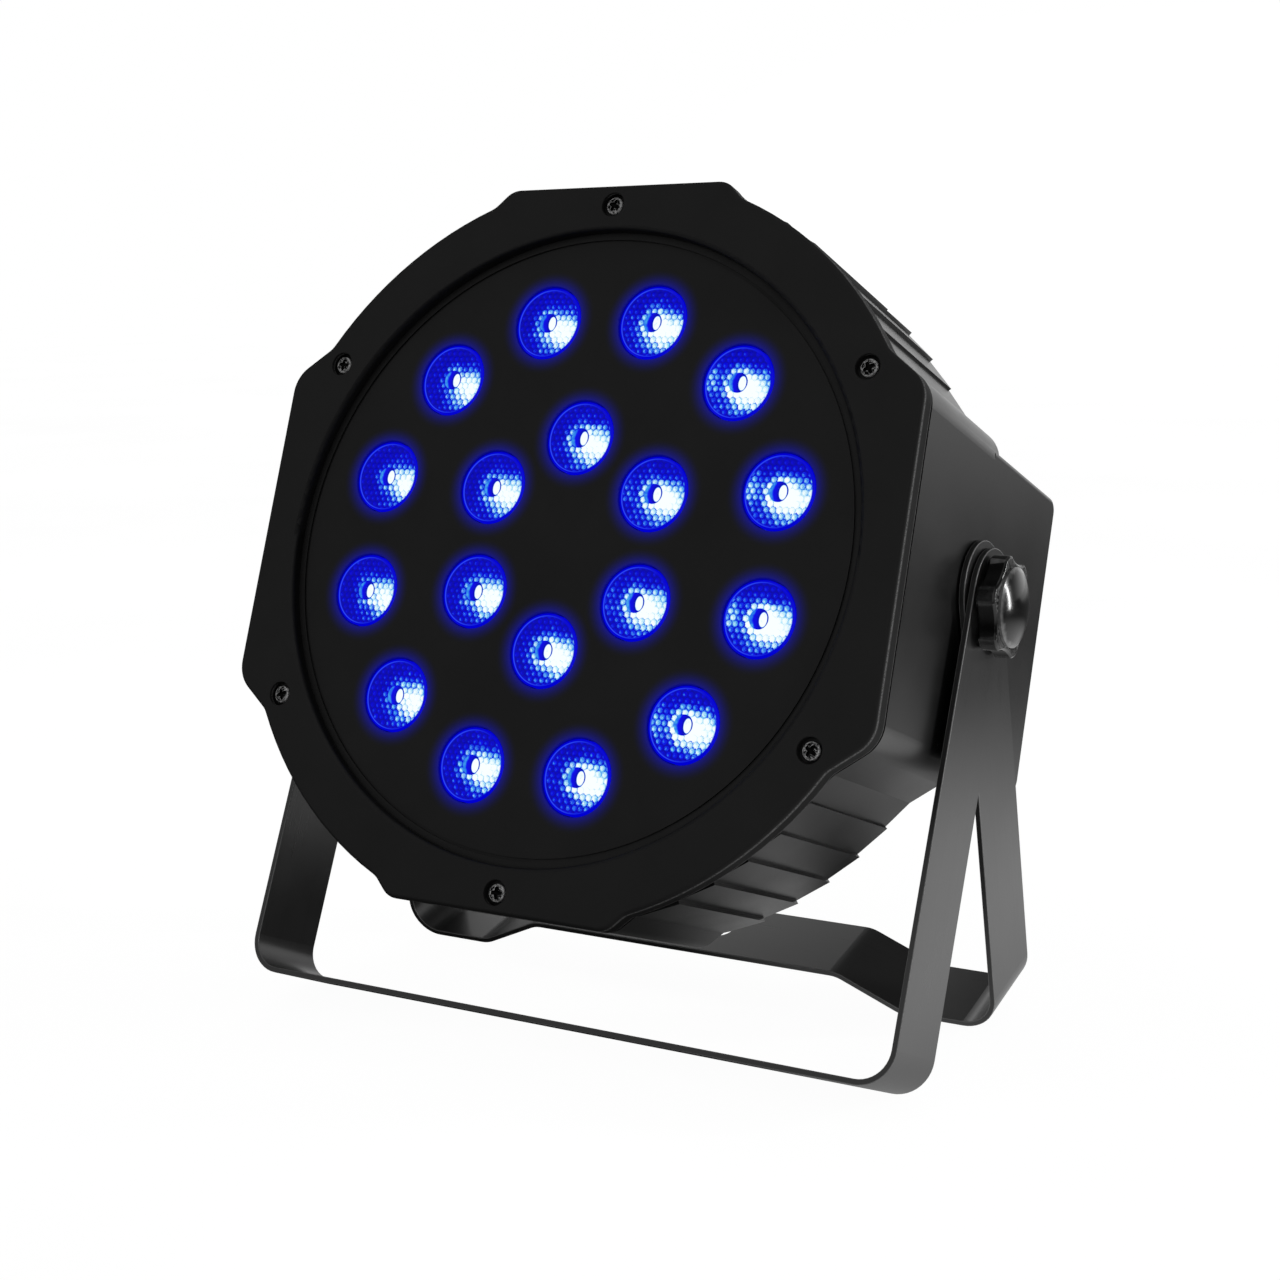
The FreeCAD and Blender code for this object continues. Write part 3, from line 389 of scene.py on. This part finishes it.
def lens_distance(n, space):
    """Distance in mm from the nearest lens centre on the plate."""
    x, _, z = n.split(space)
    radius = n.length(x, z)
    angle = n.math("ARCTAN2", z, x)
    found = []
    for ring_radius, count, first in LENS_RINGS:
        pitch = 2 * math.pi / count
        turned = n.minus(angle, math.radians(first) - pitch / 2)
        wrapped = n.minus(n.math("FLOORED_MODULO", turned, pitch), pitch / 2)
        across = n.times(radius, n.math("SINE", wrapped))
        along = n.minus(n.times(radius, n.math("COSINE", wrapped)), ring_radius)
        found.append(n.length(across, along))
    return n.math("MINIMUM", *found)


# Slot: the darkest and the lightest colour, roughness, grain in mm, strength of the grain,
# and what differs from finish's own settings.
FINISHES = {
    "bezel_abs": (grey(0.0062), grey(0.0095), 0.62, 0.5, 0.30, {"specular": 0.36}),
    "housing_abs": (grey(0.004), grey(0.009), 0.31, 0.7, 0.10,
                    {"blotch": 30.0, "rough_swing": 0.05}),
    "plate_black": (grey(0.0060), grey(0.0088), 0.6, 0.4, 0.2, {"specular": 0.34}),
    "holder_black": (grey(0.01), grey(0.02), 0.6, 0.6, 0.2, {}),
    # a black rubber seal, made darker and duller than rubber so the groove reads as painted shade
    "seal_rubber": (grey(0.0008), grey(0.0015), 0.8, 0.4, 0.4, {"specular": 0.04}),
    "lead_rubber": (grey(0.02), grey(0.05), 0.5, 0.5, 0.2, {}),
    "board_alu": ((0.62, 0.64, 0.66, 1), (0.74, 0.75, 0.76, 1), 0.45, 0.8, 0.15, {"metallic": 0.3}),
    "sink_alu": ((0.5, 0.51, 0.53, 1), (0.66, 0.67, 0.69, 1), 0.38, 0.6, 0.2, {"metallic": 1.0}),
    "screw_steel": (grey(0.55), grey(0.75), 0.28, 0.5, 0.12, {"metallic": 1.0}),
    "screw_black": (grey(0.02), grey(0.05), 0.3, 0.5, 0.12, {"metallic": 0.6}),
    "panel_steel": (grey(0.010), grey(0.018), 0.5, 0.35, 0.35, {}),
    "tab_steel": (grey(0.45), grey(0.6), 0.3, 0.5, 0.1, {"metallic": 1.0}),
    "contact_brass": ((0.55, 0.36, 0.12, 1), (0.7, 0.5, 0.2, 1), 0.3, 0.5, 0.1, {"metallic": 1.0}),
    "socket_black": (grey(0.012), grey(0.02), 0.38, 0.5, 0.15, {}),
    "inlet_black": (grey(0.010), grey(0.018), 0.42, 0.5, 0.15, {}),
    "fan_plastic": (grey(0.010), grey(0.02), 0.4, 0.6, 0.12, {}),
    "board_green": ((0.01, 0.09, 0.03, 1), (0.02, 0.16, 0.05, 1), 0.4, 0.7, 0.2, {}),
    "component": (grey(0.02), grey(0.05), 0.5, 0.6, 0.2, {}),
    "display": (grey(0.02), grey(0.04), 0.35, 0.6, 0.1, {}),
    "button_plastic": (grey(0.02), grey(0.035), 0.45, 0.5, 0.15, {}),
    "shim_nylon": ((0.5, 0.5, 0.46, 1), (0.62, 0.62, 0.58, 1), 0.45, 0.6, 0.15, {}),
    "knob_plastic": (grey(0.002), grey(0.004), 0.13, 3.0, 0.02, {"rough_swing": 0.04}),
    # painted highlight: the paler colour of the brackets' rounded edges
    "edge_bright": (grey(0.10), grey(0.22), 0.40, 0.8, 0.1, {"specular": 0.6}),
    "fuse_glass": ((0.8, 0.85, 0.85, 1), (0.9, 0.92, 0.92, 1), 0.1, 0.8, 0.05, {}),
    "window_clear": ((0.12, 0.01, 0.01, 1), (0.16, 0.015, 0.012, 1), 0.12, 2.0, 0.02, {}),
}


def make_materials():
    """A material for each slot."""
    built = {name: finish(name, *look, **other) for name, (*look, other) in FINISHES.items()}
    bezel_rim(built["bezel_abs"])
    # painted highlights: a pale grey on the knob's sharp rims
    paint_edge_highlights(built["knob_plastic"], *KNOB_EDGE, grey(0.20), speckle=3.0)
    plate_glow(built["plate_black"])
    built["fuse_glass"].paint("Transmission Weight", 0.85)
    built["window_clear"].paint("Transmission Weight", 0.7)
    made = {name: n.material for name, n in built.items()}
    made["bracket_steel"] = make_bracket_material("bracket_steel", FRONT_SPLAY)
    made["bracket_steel_rear"] = make_bracket_material("bracket_steel_rear", REAR_SPLAY)
    made["screw_head"] = make_screw_material()
    made["emitter"] = make_emitter_material()
    made["lens_acrylic"] = make_lens_material()
    return made


def plate_glow(n):
    """Painted blue glow on the plate, strongest at each lens's rim: emission in place of the lenses' light falling
    on it.
    """
    glow = n.remap(lens_distance(n, n.head()), *GLOW_FADE, 1.0, 0.0)
    n.paint("Emission Color", PURE_BLUE)
    n.paint("Emission Strength", n.times(n.math("POWER", glow, GLOW_POWER), GLOW_STRENGTH))


def make_bracket_material(name, splay):
    """Dark steel, drawn out in fine streaks along the legs."""
    n = Nodes(name)
    streak = n.noise(n.place(tilt_axis, splay, STREAKS), 1.0, 5.0, 0.65)
    slow = n.noise(n.place(tilt_axis, 0.0), 1 / STREAK_PATCH, 3.0)
    mixed = n.plus(n.times(streak, 0.5), n.times(slow, 0.5))
    n.paint("Base Color", n.mix(n.remap(mixed, *EVEN), grey(0.006), grey(0.014)))
    n.paint("Roughness", n.remap(mixed, *WIDE, 0.26, 0.36))
    n.paint("Specular IOR Level", 0.75)
    n.bump(streak, 0.06)
    return n.material


def make_emitter_material():
    n = Nodes("emitter")
    spot = n.noise(n.head(), 1 / 0.8, 3.0)
    n.paint("Base Color", n.mix(spot, (0.7, 0.75, 0.9, 1), (0.9, 0.92, 1, 1)))
    n.paint("Emission Color", (0.1, 0.2, 1.0, 1))
    n.paint("Emission Strength", n.remap(spot, *WIDE, 0.8, 1.6))
    return n.material


# Colour of a lens's painted light from dim to hot.
LENS_COLOURS = [
    (0.00, (0.0, 0.0, 0.36)),
    (0.26, (0.0, 0.0, 0.60)),
    (0.45, (0.0, 0.0, 0.84)),
    (0.53, (0.008, 0.06, 0.84)),
    (0.60, (0.018, 0.20, 0.80)),
    (0.70, (0.10, 0.50, 0.84)),
    (0.81, (0.33, 0.82, 0.93)),
    (0.92, (0.95, 1.0, 1.0)),
]


def make_lens_material():
    """A lit lens with painted light: hex beads painted white on the right and low, and blue elsewhere.

    All distances are in mm. x and z run from the lens's middle, bx and bz to the bead's middle.
    """
    n = Nodes("lens_acrylic")
    x, z, _ = n.split(n.carried("lens"))
    bx, bz, _ = n.split(n.carried("bead"))
    place = n.split(n.head())
    lens_x, lens_z = n.minus(place["X"], x), n.minus(place["Z"], z)
    side = n.remap(lens_x, -LENS_SPAN, LENS_SPAN)
    height = n.remap(lens_z, -LENS_SPAN, LENS_SPAN)
    slow = n.noise(n.head(), 1 / 3.0, 2.0)
    r = n.length(x, z)

    # painted light: the hot area, bead glints, gaps and the emitter's image are fixed on the lens and do not move
    # with the view
    inside = hot_area(n, bx, bz, side, height)
    heat = spread_heat(n, inside, bx, bz, side)
    heat = shade_beads(n, heat, inside, (x, z), (bx, bz), (lens_x, lens_z), slow)
    core = smooth_middle(n, x, z)
    in_beads = n.remap(r, *MIDDLE_FADE)
    heat = n.plus(n.times(heat, in_beads), n.times(core, n.minus(1.0, in_beads)))

    colour = n.ramp(n.math("ADD", heat, 0.0, clamp=True), LENS_COLOURS)
    colour = n.mix(n.remap(r, *RIM_BLUE), colour, (0.0, 0.0, 0.62, 1))
    # a painted bright blue line on the lens's rim, strongest on the left
    rim_line = n.times(n.remap(n.away(r, RIM_LINE), 0.05, 0.17, 1.0, 0.0),
                       n.remap(x, 5.0, -4.0, 0.0, 0.8))
    n.paint("Emission Color", n.mix(rim_line, colour, (0.03, 0.08, 1.0, 1)))
    n.paint("Emission Strength", 1.0)
    n.paint("Base Color", (0.0005, 0.0005, 0.05, 1))
    n.paint("Roughness", n.remap(slow, *WIDE, 0.10, 0.2))
    n.paint("Specular IOR Level", 0.12)
    return n.material


def hot_area(n, bx, bz, side, height):
    """How far inside the lens's painted hot area a bead lies: 1 at its middle, 0 at its edge.

    Lenses further right and further up have the area at another place and of another width.
    """
    across = n.over(n.minus(bx, n.remap(side, 0, 1, *HOT_X_OF_SIDE)),
                    n.remap(side, 0, 1, *HOT_WIDTH_OF_SIDE))
    up = n.over(n.minus(bz, n.remap(height, 0, 1, *HOT_Z_OF_HEIGHT)), HOT_HEIGHT)
    return n.minus(1.0, n.length(across, up))


def spread_heat(n, inside, bx, bz, side):
    """Painted light of the bead field: the hot area, a bright collar round the middle and a bright patch on the
    left.
    """
    heat = n.most(n.times(inside, 0.85), n.times(inside, 0.40))
    heat = n.most(heat, -0.30)
    upper_right = n.times(n.fade(bz, 1.5, 7.5), n.fade(bx, -1.0, 5.0))
    heat = n.gain(upper_right, -0.14, heat)
    collar = n.times(n.fade(n.length(bx, bz), *COLLAR_FADE, 1.0, 0.0),
                     n.remap(side, 0, 1, *COLLAR_OF_SIDE))
    patch = n.times(n.fade(bx, -4.6, -7.2), n.fade(n.away(bz, 1.2), 2.5, 5.5, 1.0, 0.0))
    patch = n.times(patch, n.fade(side, 0.45, 0.95, 0.0, 0.40))
    return n.plus(n.plus(heat, collar), patch)


def shade_beads(n, heat, inside, here, bead, lens, slow):
    """Each bead differs a little, has a painted highlight on its lower left and a painted glint spot, and a
    painted dark gap round it.
    """
    seed = [n.plus(b, l) for b, l in zip(bead, lens)]
    toss = n.toss(*seed, 0.0)
    toss_rim = n.toss(*seed, 7.0)
    heat = n.gain(n.minus(toss, 0.5), 0.36, heat)
    heat = n.gain(n.minus(slow, 0.5), 0.52, heat)

    dx, dz = [n.minus(h, b) for h, b in zip(here, bead)]
    # painted highlight on each bead's lower left, painted shade in the gap round it, and a painted glint spot
    lean = n.plus(n.times(dx, -0.85), n.times(dz, -0.5))
    lit = n.fade(lean, -0.60, 0.60, -0.08, 0.07)
    gap = n.times(n.fade(n.length(dx, dz), *BEAD_GAP), n.fade(lean, -0.5, 0.5, 1.0, 0.75))
    gap = n.times(n.times(gap, n.fade(inside, 0.10, 0.65, 1.0, 0.50)), n.plus(toss_rim, 0.5))
    spot = n.fade(n.length(n.plus(dx, 0.25), n.plus(dz, 0.15)), 0.10, 0.50, 1.0, 0.0)
    spot = n.times(spot, n.remap(toss_rim, *EVEN))
    heat = n.plus(heat, n.plus(lit, 0.50))
    return n.gain(spot, 0.16, n.gain(gap, -0.33, heat))


def smooth_middle(n, x, z):
    """Painted light of the smooth middle: a pale crescent, deep blue, a dark outline and the painted white image
    of the emitter.
    """
    fine = n.noise(n.head(), 1 / 0.8, 2.0)
    crescent = n.times(n.fade(n.length(n.minus(x, 0.9), z), 2.0, 3.0), n.fade(x, -0.2, -1.6))
    image = n.length(n.over(n.minus(x, IMAGE_X), IMAGE_SIZE[0]),
                     n.over(n.plus(z, IMAGE_DROP), IMAGE_SIZE[1]))
    outline = n.times(n.fade(image, 0.95, 1.1), n.fade(image, 1.2, 1.6, 1.0, 0.0))
    core = n.gain(n.minus(fine, 0.5), 0.25, 0.34)
    core = n.gain(crescent, 0.28, core)
    core = n.gain(outline, -0.25, core)
    return n.gain(n.remap(image, 1.05, 0.92), 0.60, core)


# ---------------------------------------------------------------- pieces
def to_object(name, bm, body, material, replaces):
    """A smooth mesh piece, given in row-frame metres, that rides on a CAD body."""
    bmesh.ops.recalc_face_normals(bm, faces=bm.faces)
    mesh = bpy.data.meshes.new(name)
    bm.to_mesh(mesh)
    bm.free()
    piece = bpy.data.objects.new(name, mesh)
    bpy.context.scene.collection.objects.link(piece)
    mesh.materials.append(material)
    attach(piece, body)
    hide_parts(*replaces)
    mesh.polygons.foreach_set("use_smooth", [True] * len(mesh.polygons))


def bead_centre(x, z):
    """The hexagonal bead that holds a point: the distance to its centre, and the centre."""
    row_height = BEAD_PITCH * math.sqrt(3) / 2
    best = None
    row = round(z / row_height)
    for k in (row - 1, row, row + 1):
        shift = 0.5 * BEAD_PITCH * (k % 2)
        cx = round((x - shift) / BEAD_PITCH) * BEAD_PITCH + shift
        cz = k * row_height
        gap = math.hypot(x - cx, z - cz)
        if best is None or gap < best[0]:
            best = (gap, cx, cz)
    return best


def front_depth(x, z, r):
    """Depth of the lens's front at a point: domed beads round a smooth middle and its groove."""
    if r < MIDDLE_R:
        return LENS_FRONT + 0.05
    if r < BEAD_FIELD[0]:
        return LENS_FRONT - 0.1
    gap, _, _ = bead_centre(x, z)
    rise = max(0.0, 1.0 - (gap / (BEAD_REACH * BEAD_PITCH)) ** 2)
    field = min(1.0, max(0.0, (r - BEAD_FIELD[0] + BEAD_FADE) / BEAD_FADE))
    return LENS_FRONT + 0.1 - BEAD_RISE * rise * field


def turned_rings(bm, centre, profile, segments, level):
    """Rings of vertices round an axis of the head, and each vertex's x, z and r from that axis.

    The profile holds radii and depths. Where a depth is None, level gives it from x, z and r.
    """
    rings, where = [], {}
    for r, y in profile:
        ring = []
        for s in range(segments if r > 0 else 1):
            a = 2 * math.pi * s / segments
            x, z = r * math.cos(a), r * math.sin(a)
            depth = level(x, z, r) if y is None else y
            v = bm.verts.new(HEAD @ (Vector((centre[0] + x, depth, centre[1] + z)) * MM))
            where[v] = (x, z, r, y)
            ring.append(v)
        rings.append(ring)
    return rings, where


def skin_rings(bm, rings, segments):
    """Faces between successive rings; a ring of one vertex closes the skin."""
    faces = []
    for a, b in zip(rings, rings[1:]):
        for s in range(segments):
            t = (s + 1) % segments
            if len(a) == 1:
                corners = (a[0], b[s], b[t])
            elif len(b) == 1:
                corners = (a[s], b[0], a[t])
            else:
                corners = (a[s], b[s], b[t], a[t])
            faces.append(bm.faces.new(corners))
    return faces


def make_lenses(material):
    """The eighteen lenses, with a true bead pattern on their fronts."""
    front = [(r, None) for r in np.arange(0.0, BEAD_FIELD[1] + 0.01, RING_STEP)]
    profile = front + LENS_EDGE + LENS_BACK
    bm = bmesh.new()
    local_uv = bm.loops.layers.uv.new("lens")
    bead_uv = bm.loops.layers.uv.new("bead")
    for radius, count, first in LENS_RINGS:
        for i in range(count):
            angle = math.radians(first + 360.0 * i / count)
            centre = (radius * math.cos(angle), radius * math.sin(angle))
            rings, where = turned_rings(bm, centre, profile, LENS_SEGMENTS, front_depth)
            for face in skin_rings(bm, rings, LENS_SEGMENTS):
                middle = [sum(where[v][axis] for v in face.verts) / len(face.verts)
                          for axis in (0, 1)]
                _, cx, cz = bead_centre(*middle)
                for loop in face.loops:
                    loop[local_uv].uv = where[loop.vert][:2]
                    loop[bead_uv].uv = (cx, cz)
    to_object("lens_optics", bm, "head", material, ["lenses"])


def cross_depth(x, z, turn):
    """How deep the cross recess is at a point of the screw's head, in mm."""
    c, s = math.cos(turn), math.sin(turn)
    u, v = abs(c * x - s * z), abs(s * x + c * z)
    long, short = max(u, v), min(u, v)
    wall = min(1.0, max(0.0, (CROSS_HALF_WIDTH - 0.12 * long - short) / 0.16))
    end = min(1.0, max(0.0, (CROSS_LENGTH - long) / 0.30))
    return CROSS_DEPTH * wall * end * (1.0 - 0.28 * long)


def make_bezel_screws(material):
    """The six bezel screws, each with a cross recess at its own angle."""
    dome = [(r, None) for r in np.arange(0.0, DOME_END, SCREW_STEP)]
    bm = bmesh.new()
    recess_uv = bm.loops.layers.uv.new("recess")
    for i, spot in enumerate(SCREW_SPOTS):
        turn = 0.4 + 1.1 * i

        def level(x, z, r):
            return SCREW_TOP + SCREW_CROWN * (r / SCREW_R) ** 3 + cross_depth(x, z, turn)

        rings, where = turned_rings(bm, spot, dome + SCREW_SIDE, SCREW_SEGMENTS, level)
        for face in skin_rings(bm, rings, SCREW_SEGMENTS):
            for loop in face.loops:
                x, z, r, y = where[loop.vert]
                loop[recess_uv].uv = (cross_depth(x, z, turn) if y is None else 0.0, r)
    to_object("cross_screws", bm, "head", material, ["bezel_screws"])


# ---------------------------------------------------------------- camera, floor and light
def make_camera():
    data = bpy.data.cameras.new("camera")
    data.sensor_width = CAMERA_SENSOR
    data.lens = CAMERA_LENS
    camera = bpy.data.objects.new("camera", data)
    right, up = Vector(CAMERA_RIGHT), Vector(CAMERA_UP)
    back = right.cross(up).normalized()
    up = back.cross(right).normalized()
    place = head_origin + Vector(CAMERA_PLACE)
    camera.matrix_world = axes_matrix(right.normalized(), up, back, place)
    bpy.context.scene.collection.objects.link(camera)
    bpy.context.scene.camera = camera


def area_light(name, place, aim, width, height, power):
    data = bpy.data.lights.new(name, "AREA")
    data.shape = "RECTANGLE"
    data.size, data.size_y = width, height
    data.energy = power
    lamp = bpy.data.objects.new(name, data)
    lamp.location = place
    direction = Vector(aim) - Vector(place)
    lamp.rotation_euler = direction.to_track_quat("-Z", "Y").to_euler()
    bpy.context.scene.collection.objects.link(lamp)


def make_stage():
    """The floor, the sky and the lamps."""
    bm = bmesh.new()
    bmesh.ops.create_circle(bm, cap_ends=True, segments=FLOOR_SEGMENTS, radius=FLOOR_R)
    mesh = bpy.data.meshes.new("floor")
    bm.to_mesh(mesh)
    bm.free()
    floor = bpy.data.objects.new("floor", mesh)
    bpy.context.scene.collection.objects.link(floor)
    mesh.materials.append(make_paper())

    world = bpy.data.worlds.new("studio")
    world.use_nodes = True
    bpy.context.scene.world = world
    light_world(world.node_tree)
    for name, lamp in LAMPS.items():
        area_light(name, *lamp)


def make_paper():
    """White sweep: seen white, but lighting the object mostly from the right and from afar."""
    n = Nodes("floor_paper")
    space = n.tree.nodes.new("ShaderNodeTexCoord").outputs["Object"]
    paper = n.mix(n.remap(n.noise(space, 3.0, 3.0), *WIDE), grey(0.96), grey(0.98))
    x, y, _ = n.split(space)
    near = n.fade(n.length(n.minus(x, 0.16), n.minus(y, 0.06)), 0.10, 0.46, 1.0, 0.0)
    beside = n.times(near, n.fade(x, 0.04, 0.14))
    below = n.times(n.times(n.fade(x, -0.01, 0.04), n.fade(y, -0.02, 0.04)), near)
    behind = n.fade(n.gain(x, -1.3, y), -0.1, 0.5)
    far = n.times(behind, n.fade(n.length(x, y), 0.8, 2.6, 0.0, 0.62))
    glow = n.most(n.times(beside, 0.95), n.times(below, 0.75))
    glow = n.plus(glow, n.plus(far, 0.03))
    seen = n.tree.nodes.new("ShaderNodeLightPath").outputs["Is Camera Ray"]
    n.paint("Base Color", grey(0.08))
    n.paint("Emission Color", paper)
    n.paint("Emission Strength", n.most(seen, glow))
    n.paint("Roughness", 0.9)
    n.paint("Specular IOR Level", 0.1)
    return n.material


def light_world(tree):
    """White to the camera; for lighting, a band along the horizon, brightest behind the object."""
    def step(value, low, high, to_low, to_high):
        node = tree.nodes.new("ShaderNodeMapRange")
        node.interpolation_type = "SMOOTHSTEP"
        tree.links.new(value, node.inputs["Value"])
        for key, v in (("From Min", low), ("From Max", high),
                       ("To Min", to_low), ("To Max", to_high)):
            node.inputs[key].default_value = v
        return node.outputs[0]

    def join(operation, a, b):
        node = tree.nodes.new("ShaderNodeMath")
        node.operation = operation
        tree.links.new(a, node.inputs[0])
        tree.links.new(b, node.inputs[1])
        return node.outputs[0]

    split = tree.nodes.new("ShaderNodeSeparateXYZ")
    toward = tree.nodes.new("ShaderNodeTexCoord").outputs["Generated"]
    tree.links.new(toward, split.inputs[0])
    y, z = split.outputs["Y"], split.outputs["Z"]
    behind = join("MULTIPLY", step(y, 0.55, 0.95, 0.08, 1.10), step(z, 0.05, 0.40, 1.0, 0.15))
    in_front = step(y, -0.20, -0.70, 0.08, 0.50)
    overhead = step(z, 0.80, 1.0, 0.0, 0.55)
    seen = tree.nodes.new("ShaderNodeLightPath").outputs["Is Camera Ray"]
    strength = behind
    for part in (in_front, overhead, seen):
        strength = join("MAXIMUM", strength, part)
    background = tree.nodes["Background"]
    tree.links.new(strength, background.inputs["Strength"])
    background.inputs["Color"].default_value = WORLD_WHITE


def dress(made):
    """Every CAD node gets the material of its slot."""
    slots = {part["node"]: part["material_slot"] for part in frame["record"]["subparts"]}
    for name, node in nodes.items():
        # the rear bracket's streaks follow its own lean
        slot = "bracket_steel_rear" if name == "rear_bracket" else slots[name]
        node.data.materials.clear()
        node.data.materials.append(made[slot])
    for name, width in SOFTENED.items():
        soften(nodes[name], width * MM, made["edge_bright"] if "bracket" in name else None)


def soften(piece, width, edge_material):
    """Even shading on flat faces, and with a width, a small rounding on the sharp edges; an edge material, when
    given, colours the rounding as a painted highlight.
    """
    weld = piece.modifiers.new("weld", "WELD")
    weld.merge_threshold = WELD_DISTANCE
    flats = piece.modifiers.new("flats", "DECIMATE")
    flats.decimate_type = "DISSOLVE"
    flats.angle_limit = FLAT_ANGLE
    if width:
        bevel = piece.modifiers.new("bevel", "BEVEL")
        bevel.width = width
        bevel.segments = 2
        bevel.limit_method = "ANGLE"
        bevel.angle_limit = BEVEL_ANGLE
        bevel.use_clamp_overlap = True
        if edge_material:
            piece.data.materials.append(edge_material)
            bevel.material = 1
    normals = piece.modifiers.new("normals", "WEIGHTED_NORMAL")
    normals.keep_sharp = True


bpy.context.scene.view_settings.view_transform = "Standard"
bpy.context.scene.view_settings.look = "None"
make_camera()
make_stage()
materials = make_materials()
dress(materials)
make_lenses(materials["lens_acrylic"])
make_bezel_screws(materials["screw_head"])
